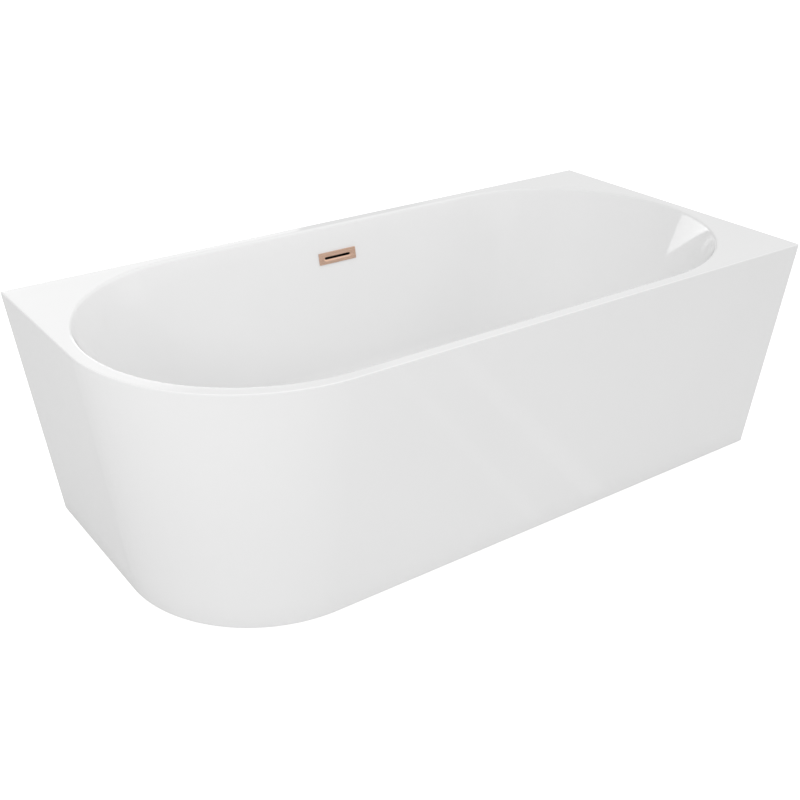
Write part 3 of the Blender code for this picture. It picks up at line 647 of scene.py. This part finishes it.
def build_skirt():
    bm = bmesh.new()
    top = HEIGHT - SHELL - TOUCH
    rings = []
    for i in range(EDGE_STEPS + 1):
        a = math.pi / 2 * i / EDGE_STEPS
        rings.append((SKIRT_BASE + SKIRT_EDGE * (1 - math.sin(a)), SKIRT_EDGE * (1 - math.cos(a))))
    rings.reverse()
    low = SKIRT_BASE + SKIRT_EDGE
    rings += [(low + (top - low) * i / SKIRT_ROWS, 0.0) for i in range(1, SKIRT_ROWS + 1)]
    shown = len(rings) - 1
    under = top - SKIRT_WALL
    rings += [(top, SKIRT_FLANGE), (under, SKIRT_FLANGE), (under, SKIRT_WALL)]
    rings += [(under + (SKIRT_BASE - under) * i / SKIRT_ROWS, SKIRT_WALL) for i in range(1, SKIRT_ROWS + 1)]
    shapes = [outer_outline(z, inset) for z, inset in rings]
    loft_faces(bm, shapes, True)
    bm.faces.ensure_lookup_table()
    count = len(shapes[0])
    for index, face in enumerate(bm.faces):
        face.material_index = 0 if index < shown * count else 1
    skirt = piece("skirt", bm, [ACRYLIC, FIBREGLASS], "outer_skirt")
    half, reach = NOTCH_HALF, 4 * SKIRT_WALL
    outline = [(-half, -0.03), (half, -0.03), (half, NOTCH_TOP), (-half, NOTCH_TOP)]
    tool = extruded(rounded(outline, [0, 0, 0.012, 0.012], 8), [], -reach, reach)
    cut(skirt, "DIFFERENCE", tool, at(0, HALF_WIDTH) @ Matrix.Rotation(math.pi / 2, 4, "X"))


build_basin()
build_skirt()


# Overflow

def slot_outline(width, tall, steps=12):
    """A slot with round ends, width along X."""
    radius = tall / 2
    points = arc((width / 2 - radius, 0), radius, -math.pi / 2, math.pi / 2, steps)
    return points + arc((radius - width / 2, 0), radius, math.pi / 2, 3 * math.pi / 2, steps)


PLATE = (0.110, 0.030)
PLATE_THICK = 0.0030
PLATE_CORNER = 0.0016
PLATE_EDGE = 0.0007
SLOT = (0.076, 0.006)
SLOT_DISH = 0.0042  # width of the sunk ring round the slot
DISH_DEPTH = 0.0016
GAP = 0.0003


def build_overflow_plate():
    bm = bmesh.new()
    outline = rounded(rectangle(*PLATE), [PLATE_CORNER] * 4, 6)
    back, front = GAP, GAP + PLATE_THICK
    rings = [(0, back), (0, front - PLATE_EDGE)]
    for i in range(1, EDGE_STEPS + 1):
        a = math.pi / 2 * i / EDGE_STEPS
        rings.append((PLATE_EDGE * (1 - math.cos(a)), front - PLATE_EDGE * (1 - math.sin(a))))
    rings.append((PLATE_EDGE + 0.0003, front))
    outer = loft_faces(bm, [offset_loop(outline, inset, z) for inset, z in rings], False)
    dish = [(SLOT_DISH + 0.0003, 0.0)]
    for i in range(9):
        share = i / 8
        drop = DISH_DEPTH * math.sin(math.pi / 2 * share) ** 1.3
        dish.append((SLOT_DISH * (1 - share) + 0.0004 * share, drop))
    dish.append((0.0, DISH_DEPTH + 0.0004))
    shapes = [[(x, y, front - drop) for x, y in slot_outline(SLOT[0] + 2 * grow, SLOT[1] + 2 * grow)]
              for grow, drop in dish]
    ring = loft_faces(bm, shapes, False)
    fill_between(bm, outer[-1], ring[0])
    plated = set(bm.faces)
    inside = loft_faces(bm, [[tuple(v.co) for v in ring[-1]],
                             [(x, y, back) for x, y in slot_outline(*SLOT)]], False)
    bmesh.ops.remove_doubles(bm, verts=ring[-1] + inside[0], dist=1e-7)
    fill_between(bm, outer[0], inside[1])
    # The slot's inner walls and the plate's back take the painted slot shade; the plated faces take rose
    # gold.
    for face in bm.faces:
        face.material_index = 0 if face in plated else 1
    piece("overflow_cover", bm, [ROSE_GOLD, SLOT_PAINTED_SHADE], "overflow_plate", overflow_place(), angle=50)


build_overflow_plate()


# Waste

WASTE_PLACE = at(WASTE.x, WASTE.y)
EDGE = 0.0006
AXIS = 0.0002  # where a closed profile starts and ends, beside the axis


def build_waste_flange():
    low = FLANGE_TOP_Z - 0.0028
    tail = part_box("waste_flange")[0].z
    profile = [(FLANGE_BORE, tail), (TAIL_RADIUS - 0.0004, tail)]
    radii = [0, 0.0003]
    turn = 0.0022  # of the thread on the tail
    z = tail + 0.002
    while z < low - 0.004:
        profile += [(TAIL_RADIUS - 0.0008, z), (TAIL_RADIUS, z + turn / 2)]
        radii += [0, 0]
        z += turn
    profile += [(TAIL_RADIUS - 0.0006, low), (FLANGE_RADIUS, low), (FLANGE_RADIUS, FLANGE_TOP_Z - 0.0004),
                (FLANGE_RADIUS - 0.0022, FLANGE_TOP_Z), (PLUG_SEAT, FLANGE_TOP_Z),
                (FLANGE_BORE, FLANGE_TOP_Z - 0.0014)]
    radii += [0.0003, EDGE, EDGE, 0.0010, 0.0005, 0.0004]
    bm = turned(profile, 96, radii)
    piece("waste_ring", bm, [ROSE_GOLD], "waste_flange", WASTE_PLACE, angle=40)


def build_plug_cap():
    low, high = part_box("waste_plug")
    radius = (high.x - low.x) / 2
    base, top = low.z, high.z
    crown = [(radius - 0.0016 - (radius - 0.0016) * i / 10, top - 0.0004 * (1 - i / 10) ** 2)
             for i in range(10)]
    profile = [(AXIS, base), (radius - EDGE, base), (radius, base + EDGE), (radius, top - 0.0016),
               (radius - 0.0004, top - 0.0008)] + crown + [(AXIS, top)]
    bm = turned(profile, 96, [0, 0.0003, 0.0003, 0.0005, 0.0004] + [0.0003] + [0] * 10, False)
    piece("plug_cap", bm, [ROSE_GOLD], "waste_plug", WASTE_PLACE, angle=40)


def build_plug_seal():
    low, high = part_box("plug_seal")
    outer = (high.x - low.x) / 2
    bead = (high.z - low.z) / 2
    bulge = bead * 1.4
    turns = [2 * math.pi * i / 16 for i in range(16)]
    squeezed = [(outer - bulge + bulge * math.cos(a), low.z + bead * (1 + math.sin(a))) for a in turns]
    ring = sorted((p for p in squeezed if p[0] >= outer - bulge), key=lambda p: p[1])
    profile = [(PLUG_SEAT, low.z)] + ring + [(PLUG_SEAT, high.z)]
    piece("plug_seal_ring", turned(profile, 96), [RUBBER], "plug_seal", WASTE_PLACE)


def build_plug_pin():
    low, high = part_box("plug_stem")
    radius = (high.x - low.x) / 2
    profile = [(AXIS, low.z), (radius - 0.001, low.z), (radius, low.z + 0.001)]
    radii = [0, 0.0004, 0.0004]
    for groove in (0.010, 0.0135):
        z = low.z + groove
        profile += [(radius, z), (radius - 0.0006, z + 0.0003), (radius - 0.0006, z + 0.0012),
                    (radius, z + 0.0015)]
        radii += [0.0001, 0.0001, 0.0001, 0.0001]
    profile += [(radius, high.z), (AXIS, high.z)]
    radii += [0.0002, 0]
    piece("plug_pin", turned(profile, 48, radii, False), [POLISHED_STEEL], "plug_stem", WASTE_PLACE)


build_waste_flange()
build_plug_cap()
build_plug_seal()
build_plug_pin()


# Levelling feet

PITCH = 0.00175  # of the M12 thread
THREAD_DEPTH = 0.0010
THREAD_ROWS = 6  # rows of points in a turn
THREAD_STEPS = 28


def threaded_rod(radius, z0, z1):
    """A rod with a rolled thread and chamfered ends."""
    bm = bmesh.new()
    chamfer = 0.0012
    rows = int((z1 - z0) / PITCH * THREAD_ROWS)
    rings = []
    for k in range(rows + 1):
        z = z0 + (z1 - z0) * k / rows
        end = min(z - z0, z1 - z, chamfer)
        ring = []
        for i in range(THREAD_STEPS):
            phase = ((z - z0) / PITCH - i / THREAD_STEPS) % 1.0
            depth = THREAD_DEPTH * min(1.0, max(0.0, 1.25 - 2.5 * abs(phase - 0.5)))
            r = radius - max(depth, chamfer - end)
            a = 2 * math.pi * i / THREAD_STEPS
            ring.append((r * math.cos(a), r * math.sin(a), z))
        rings.append(ring)
    loops = loft_faces(bm, rings, False)
    bm.faces.new(loops[0])
    bm.faces.new(loops[-1])
    return bm


def hex_nut(across, bore, tall):
    """A hexagon nut with its corners chamfered, base at z = 0."""
    corner = across / 2 / math.cos(math.pi / 6)
    steps = 6 * 8
    drop = (corner - across / 2 * 0.98) * math.tan(math.radians(30))
    hexagon = []
    for i in range(steps):
        a = 2 * math.pi * i / steps
        hexagon.append(across / 2 / math.cos((a + math.pi / 6) % (math.pi / 3) - math.pi / 6))
    rings = []
    flat = across / 2 * 0.94

    def ring(limit, z):
        return [(min(r, limit) * math.cos(2 * math.pi * i / steps),
                 min(r, limit) * math.sin(2 * math.pi * i / steps), z) for i, r in enumerate(hexagon)]

    levels = 4
    cone = [(flat + (corner - flat) * k / levels, drop * k / levels * 1.6) for k in range(levels + 1)]
    rings += [ring(limit, z) for limit, z in cone]
    rings += [ring(limit, tall - z) for limit, z in reversed(cone)]
    lead = 0.0008
    hole = [(bore + lead, tall), (bore, tall - lead), (bore, lead), (bore + lead, 0.0)]
    rings += [circle(r, z, steps) for r, z in hole]
    bm = bmesh.new()
    loft_faces(bm, rings, True)
    return bm


def foot_pad(radius, tall, neck, socket, depth):
    """A rubber pad, ribbed underneath and grooved round its side."""
    profile = [(socket, tall - depth), (socket, tall), (neck, tall), (neck + 0.0012, tall - 0.0022),
               (radius - 0.0030, 0.0052), (radius - 0.0004, 0.0046), (radius, 0.0032),
               (radius - 0.0007, 0.0024), (radius, 0.0016), (radius, 0.0004), (radius - 0.0006, 0.0)]
    radii = [0, 0.0006, 0.0010, 0.0015, 0.0020, 0.0006, 0.0003, 0.0003, 0.0003, 0.0003, 0.0002]
    for i in range(5):
        r = radius - 0.0035 - 0.0045 * i
        profile += [(r, 0.0), (r - 0.0006, 0.0010), (r - 0.0014, 0.0010), (r - 0.0020, 0.0)]
        radii += [0.0002] * 4
    profile.append((AXIS, 0.0))
    radii.append(0)
    profile = [(AXIS, tall - depth)] + profile
    return turned(profile, 72, [0] + radii, False)


def build_feet():
    low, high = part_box("foot_rod_1")
    rod_radius = (high.x - low.x) / 2
    rod = threaded_rod(rod_radius, low.z, high.z)
    pad_low, pad_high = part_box("foot_pad_1")
    pad = foot_pad((pad_high.x - pad_low.x) / 2, pad_high.z, 0.0130, rod_radius + GAP, 0.008)
    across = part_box("foot_nut_1")[1].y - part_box("foot_nut_1")[0].y
    bore = rod_radius + 0.0001
    for number in range(1, 7):
        place = middle(f"foot_rod_{number}")
        place = at(place.x, place.y)
        piece(f"levelling_rod_{number}", rod.copy(), [ZINC], f"foot_rod_{number}", place, angle=50)
        piece(f"levelling_pad_{number}", pad.copy(), [RUBBER], f"foot_pad_{number}", place)
        for kind, new in (("foot_nut", "weld_nut"), ("lock_nut", "jam_nut")):
            low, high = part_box(f"{kind}_{number}")
            turn = Matrix.Rotation(math.radians(17 * number), 4, "Z") if kind == "lock_nut" else Matrix()
            nut = hex_nut(across, bore, high.z - low.z)
            piece(f"{new}_{number}", nut, [ZINC], f"{kind}_{number}",
                  place @ at(0, 0, low.z) @ turn, angle=25)
    rod.free()
    pad.free()


build_feet()


# Underframe and board

BOARD_OPENING = 0.060  # round the waste
BOARD_MARGIN = 0.012  # by which the board stays inside the basin's flat underside
SCREW_HOLE = 0.0030
ROD_HOLE = 0.0075
TUBE_WALL = 0.002
TUBE_ROUND = 0.0030


def square_tube(length, side):
    """A cold-formed square tube along X with open ends, its middle at the origin."""
    outer = rounded(rectangle(side, side), [TUBE_ROUND] * 4, 5)
    edge = 0.0003
    inner = [tuple(v[:2]) for v in offset_loop(outer, TUBE_WALL, 0)]
    outlines = [(inner, 0.0), (offset_loop(outer, edge, 0), 0.0), (outer, edge)]
    rings = []
    for outline, back in outlines:
        rings.append([(back - length / 2, p[0], p[1]) for p in outline])
    rings += [[(-x, y, z) for x, y, z in ring] for ring in reversed(rings)]
    bm = bmesh.new()
    loft_faces(bm, rings, True)
    return bm


def drill(radius, z0, z1, steps=32):
    bm = bmesh.new()
    loops = loft_faces(bm, [circle(radius, z, steps) for z in (z0, z1)], False)
    bm.faces.new(loops[0])
    bm.faces.new(loops[1])
    return bm


def tube_piece(new, node, holes, radius):
    low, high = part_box(node)
    size = high - low
    centre = (low + high) / 2
    place = Matrix.Translation(centre)
    if size.y > size.x:
        place = place @ Matrix.Rotation(math.pi / 2, 4, "Z")
    tube = piece(new, square_tube(max(size.x, size.y), size.z), [GALVANISED], node, place)
    for x, y in holes:
        cut(tube, "DIFFERENCE", drill(radius, low.z - 0.01, high.z + 0.01), at(x, y))


def build_underframe():
    screws = [middle(f"frame_screw_{i}") for i in range(1, 7)]
    feet = [middle(f"foot_rod_{i}") for i in range(1, 7)]
    for side in ("front", "back"):
        rail = middle(f"frame_rail_{side}")
        holes = [(s.x, s.y) for s in screws if abs(s.y - rail.y) < 0.01]
        tube_piece(f"rail_{side}", f"frame_rail_{side}", holes, SCREW_HOLE)
    for side in ("left", "middle", "right"):
        cross = middle(f"frame_cross_{side}")
        holes = [(f.x, f.y) for f in feet if abs(f.x - cross.x) < 0.01]
        tube_piece(f"cross_{side}", f"frame_cross_{side}", holes, ROD_HOLE)


def build_board():
    flat = wall_inset(UNDERSIDE_Z, SIDE_LEAN, SHELL, OUTER_FILLET) + BOARD_MARGIN
    flat_end = wall_inset(UNDERSIDE_Z, END_LEAN, SHELL, OUTER_FILLET) + BOARD_MARGIN
    outline = [(x, y) for x, y, z in stadium(flat, flat_end, 0)]
    hole = [(WASTE.x + x, WASTE.y + y) for x, y, z in circle(BOARD_OPENING, 0, 72)]
    board = piece("floor_board", extruded(outline, [hole], BOARD_LOW.z, BOARD_HIGH.z, 0.0012),
                  [BOARD], "base_board")
    for i in range(1, 7):
        screw = middle(f"frame_screw_{i}")
        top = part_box(f"frame_screw_{i}")[1].z
        cut(board, "DIFFERENCE", drill(SCREW_HOLE, BOARD_LOW.z - 0.01, top + 0.0005), at(screw.x, screw.y))


def build_screws():
    """Pan-head screws with a cross recess and a coarse thread."""
    for i in range(1, 7):
        low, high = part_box(f"frame_screw_{i}")
        centre = (low + high) / 2
        head = 0.0025
        top = low.z + head
        profile = [(AXIS, low.z), (0.0022, low.z), (0.0044, low.z + 0.0006), (0.0054, low.z + 0.0016),
                   (0.0055, top), (0.0025, top)]
        radii = [0, 0.0004, 0.0008, 0.0005, 0.0002, 0.0002]
        z = top + 0.003
        while z < high.z - 0.006:
            profile += [(0.0018, z), (0.0025, z + 0.0008), (0.0018, z + 0.0012)]
            radii += [0] * 3
            z += 0.0018
        profile += [(0.0018, high.z - 0.005), (0.0003, high.z)]
        radii += [0, 0]
        screw = piece(f"board_screw_{i}", turned(profile, 32, radii, False), [ZINC], f"frame_screw_{i}",
                      at(centre.x, centre.y))
        for turn in (20 * i, 20 * i + 90):
            blade = extruded(rounded(rectangle(0.0046, 0.0009), [0.0003] * 4, 3), [],
                             low.z - 0.001, low.z + 0.0014)
            cut(screw, "DIFFERENCE", blade,
                at(centre.x, centre.y) @ Matrix.Rotation(math.radians(turn), 4, "Z"))


build_underframe()
build_board()
build_screws()


# Trap, outlet and hose

TO_WALL = Matrix.Rotation(-math.pi / 2, 4, "X")


def ribbed_nut(inner, outer, length, ribs):
    """A hand-tightened plastic nut about Z with grip ribs, its middle at the origin."""
    steps = ribs * 6
    shape = (0.0, 0.35, 1.0, 1.0, 0.35, 0.0)
    depth = (outer - inner) * 0.30
    half = length / 2
    lip = min(0.0015, length * 0.12)

    def ring(grip, z, base=0.0):
        points = []
        for i in range(steps):
            a = 2 * math.pi * i / steps
            r = outer - base - depth * (1 - shape[i % 6] * grip)
            points.append((r * math.cos(a), r * math.sin(a), z))
        return points

    soft = lip * 0.5
    rings = [circle(inner + soft, -half, steps), ring(0.0, -half, soft), ring(0.0, -half + soft),
             ring(0.0, -half + lip), ring(0.8, -half + lip * 1.5), ring(1.0, -half + lip * 2.2)]
    rings += [[(x, y, -z) for x, y, z in points] for points in reversed(rings)]
    inside = [circle(inner, half - soft, steps), circle(inner, soft - half, steps)]
    bm = bmesh.new()
    loft_faces(bm, rings + inside, True)
    return bm


def nut_piece(new, node, ribs, along, inner):
    low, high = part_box(node)
    size = high - low
    length = size.z if along == "z" else size.y
    outer = size.x / 2
    place = Matrix.Translation((low + high) / 2)
    if along == "y":
        place = place @ TO_WALL
    piece(new, ribbed_nut(inner, outer, length, ribs), [GREY_PLASTIC], node, place, angle=30)


HOSE_RADIUS = 0.0095
HOSE_PITCH = 0.0036
HOSE_STEPS = 28


def build_hose():
    """A corrugated hose from the middle of its upper nut to the middle of its lower one."""
    start, end = middle("hose_nut_top"), middle("hose_nut_bottom")
    down = Vector((0, start.y, end.z + (start.z - end.z) * 0.06))
    level = Vector((0, end.y + (start.y - end.y) * 0.79, end.z))
    fine = 400
    line = []
    for i in range(fine + 1):
        t = i / fine
        u = 1 - t
        line.append(start * u ** 3 + down * 3 * u * u * t + level * 3 * u * t * t + end * t ** 3)
    travelled = [0.0]
    for a, b in zip(line, line[1:]):
        travelled.append(travelled[-1] + (b - a).length)
    length = travelled[-1]
    turns = round(length / HOSE_PITCH)
    rings = []
    index = 0
    for k in range(turns * 6 + 1):
        here = length * k / (turns * 6)
        while index < fine - 1 and travelled[index + 1] < here:
            index += 1
        share = (here - travelled[index]) / (travelled[index + 1] - travelled[index])
        point = line[index].lerp(line[index + 1], share)
        ahead = (line[min(index + 2, fine)] - line[max(index - 1, 0)]).normalized()
        wave = (0.5 + 0.5 * math.cos(2 * math.pi * (k % 6) / 6)) ** 0.7
        cuff = min(here, length - here) < 0.013
        radius = HOSE_RADIUS - (0.0004 if cuff else 0.0013 * wave)
        up = Vector((1, 0, 0))
        side = ahead.cross(up).normalized()
        rings.append([point + (up * math.cos(a) + side * math.sin(a)) * radius
                      for a in (2 * math.pi * i / HOSE_STEPS for i in range(HOSE_STEPS))])
    bm = bmesh.new()
    loops = loft_faces(bm, rings, False)
    bm.faces.new(loops[0])
    bm.faces.new(loops[-1])
    piece("corrugated_hose", bm, [GREY_PLASTIC], "overflow_hose", angle=60)


def build_trap():
    low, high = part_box("trap_cup")
    radius = (high.x - low.x) / 2
    wall = 0.003
    steps = 8
    profile = [(AXIS, low.z), (radius * 0.55, low.z)]
    profile += [(radius * 0.55 + radius * 0.45 * math.sin(math.pi / 2 * i / steps),
                 low.z + 0.009 * (1 - math.cos(math.pi / 2 * i / steps))) for i in range(1, steps + 1)]
    profile += [(radius, high.z), (radius - wall, high.z), (radius - wall, low.z + 0.010),
                (radius * 0.5, low.z + wall), (AXIS, low.z + wall)]
    radii = [0] * (steps + 2) + [0.0008, 0.0004, 0.003, 0.002, 0]
    cup = piece("trap_base", turned(profile, 96, radii, False), [WHITE_PLASTIC], "trap_cup", WASTE_PLACE)
    for i in range(24):
        a = 2 * math.pi * i / 24
        outline = rounded(rectangle(0.0016, 0.0022), [0.0004] * 4, 3)
        rib = extruded(outline, [], low.z + 0.0095, high.z - 0.001)
        place = WASTE_PLACE @ Matrix.Rotation(a, 4, "Z") @ at(radius - 0.0011, 0)
        cut(cup, "DIFFERENCE", rib, place)
    nut_piece("trap_coupling", "trap_nut", 24, "z", 0.0293)
    nut_piece("outlet_coupling", "outlet_nut", 20, "y", 0.0163)
    nut_piece("hose_clamp_top", "hose_nut_top", 16, "z", HOSE_RADIUS + 0.0006)
    nut_piece("hose_clamp_bottom", "hose_nut_bottom", 16, "y", HOSE_RADIUS + 0.0006)
    low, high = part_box("outlet_pipe")
    length = high.y - low.y
    outer = (high.x - low.x) / 2
    profile = [(outer - 0.0025, 0), (outer - 0.0012, 0), (outer, 0.0012), (outer, length - 0.0012),
               (outer - 0.0012, length), (outer - 0.0025, length)]
    pipe = turned(profile, 72, [0, 0.0004, 0.0004, 0.0004, 0.0004, 0])
    centre = (low + high) / 2
    piece("waste_pipe", pipe, [WHITE_PLASTIC], "outlet_pipe", at(centre.x, low.y, centre.z) @ TO_WALL)


build_trap()
build_hose()


# Studio

WORLD_LIGHT = 0.64
FLOOR_TONE = 0.45
FLOOR_BOUNCE = 0.28  # the floor's own glow, which also reaches under the tub
FLOOR_GLOW = 0.86  # the same where the camera sees it
# Wide soft lights: how bright, and which way they shine
LIGHTS = {"front_right": (0.14, (-0.55, 0.75, -0.62)), "back_right": (0.14, (-1.00, -0.10, -0.45))}
LIGHT_SPREAD = 90
# Panels: place, the point each faces, width and height, how bright, and whether only reflections show it
PANELS = {
    "key": ((-3.4, -2.4, 3.1), (0, 0, 0.4), (2.6, 2.6), 3.2, False),
    "window_top": ((0.63, 3.0, 1.72), (0.63, 0, 1.72), (1.58, 1.15), 0.75, True),
    "window_foot": ((0.10, 3.0, 0.95), (0.10, 0, 0.95), (2.20, 1.10), 2.6, True),
    "floor_strip_wide": ((0.31, -0.72, 0.02), (0.31, -0.72, 1), (0.07, 0.76), 0.20, True),
    "floor_strip_thin": ((0.11, -0.72, 0.02), (0.11, -0.72, 1), (0.04, 0.76), 0.18, True)}


def floor_material():
    """A pale sweep that glows by itself, brightest where it is seen directly, and clear from underneath."""
    made, tree, shader = new_material("studio_floor", (FLOOR_TONE,) * 3, 0.9, IOR=1.1)
    tone = place_texture(tree, "ShaderNodeTexNoise", 0.8, Detail=2.0)
    colour_range(tree, shader, tone.outputs["Fac"], [(FLOOR_TONE - 0.01,) * 3, (FLOOR_TONE,) * 3])
    shader.inputs["Emission Color"].default_value = (1, 1, 1, 1)
    path = tree.nodes.new("ShaderNodeLightPath")
    glow = value_range(tree, path.outputs["Is Camera Ray"], FLOOR_BOUNCE, FLOOR_GLOW, 0.0, 1.0)
    tree.links.new(glow, shader.inputs["Emission Strength"])
    geometry = tree.nodes.new("ShaderNodeNewGeometry")
    clear = tree.nodes.new("ShaderNodeBsdfTransparent")
    mix = tree.nodes.new("ShaderNodeMixShader")
    tree.links.new(geometry.outputs["Backfacing"], mix.inputs[0])
    tree.links.new(shader.outputs["BSDF"], mix.inputs[1])
    tree.links.new(clear.outputs["BSDF"], mix.inputs[2])
    tree.links.new(mix.outputs["Shader"], tree.nodes["Material Output"].inputs["Surface"])
    return made


def panel(name, place, target, size, radiance, glossy):
    """A soft panel that shows only in glossy reflections, or in everything but those."""
    data = bpy.data.lights.new(name, "AREA")
    data.shape = "RECTANGLE"
    data.size, data.size_y = size
    data.energy = radiance * math.pi * size[0] * size[1]
    made = bpy.data.objects.new(name, data)
    made.location = place
    made.rotation_euler = (Vector(target) - Vector(place)).to_track_quat("-Z", "Y").to_euler()
    made.visible_camera = False
    made.visible_diffuse = not glossy
    made.visible_glossy = glossy
    bpy.context.scene.collection.objects.link(made)


def build_studio():
    bpy.ops.mesh.primitive_plane_add(size=120, location=(0, 0, -TOUCH))
    floor = bpy.context.object
    floor.name = "studio_floor"
    floor.data.materials.append(floor_material())
    world = bpy.data.worlds.new("studio")
    bpy.context.scene.world = world
    world.use_nodes = True
    tree = world.node_tree
    background = tree.nodes["Background"]
    background.inputs["Color"].default_value = (1, 1, 1, 1)
    path = tree.nodes.new("ShaderNodeLightPath")
    strength = value_range(tree, path.outputs["Is Camera Ray"], WORLD_LIGHT, 1.0, 0.0, 1.0)
    tree.links.new(strength, background.inputs["Strength"])
    for name, (strength, aim) in LIGHTS.items():
        data = bpy.data.lights.new(name, "SUN")
        data.energy = strength * math.pi
        data.angle = math.radians(LIGHT_SPREAD)
        light = bpy.data.objects.new(name, data)
        light.rotation_euler = Vector(aim).to_track_quat("-Z", "Y").to_euler()
        bpy.context.scene.collection.objects.link(light)
    for name, settings in PANELS.items():
        panel(name, *settings)


def build_camera():
    data = bpy.data.cameras.new("camera")
    data.lens = CAMERA_LENS
    data.sensor_width = 36
    camera = bpy.data.objects.new("camera", data)
    camera.location = CAMERA_PLACE
    camera.rotation_euler = (math.pi / 2 - CAMERA_ELEVATION, 0, CAMERA_AZIMUTH)
    bpy.context.scene.collection.objects.link(camera)
    bpy.context.scene.camera = camera


# The overflow housing's black is painted shade for the hollow behind the overflow slot.
CAD_FINISH = {
    "waste_gasket": RUBBER, "overflow_gasket": RUBBER, "plug_guide": WHITE_PLASTIC,
    "waste_body": WHITE_PLASTIC, "trap_body": WHITE_PLASTIC, "overflow_housing": HOUSING_PAINTED_SHADE}
EDGE_BEVEL = 0.0006


def finish_cad_nodes():
    """Gives the CAD nodes that are still shown a finish and small round edges."""
    for name, finish in CAD_FINISH.items():
        node = frame["nodes"][name]
        for held in node.material_slots:
            held.material = finish
        weld = node.modifiers.new("weld", "WELD")
        weld.merge_threshold = 0.00001
        bevel = node.modifiers.new("edges", "BEVEL")
        bevel.width = EDGE_BEVEL
        bevel.segments = 2
        bevel.limit_method = "ANGLE"
        bevel.angle_limit = math.radians(35)
        bevel.harden_normals = True


finish_cad_nodes()
build_studio()
build_camera()
bpy.context.scene.view_settings.view_transform = "Standard"
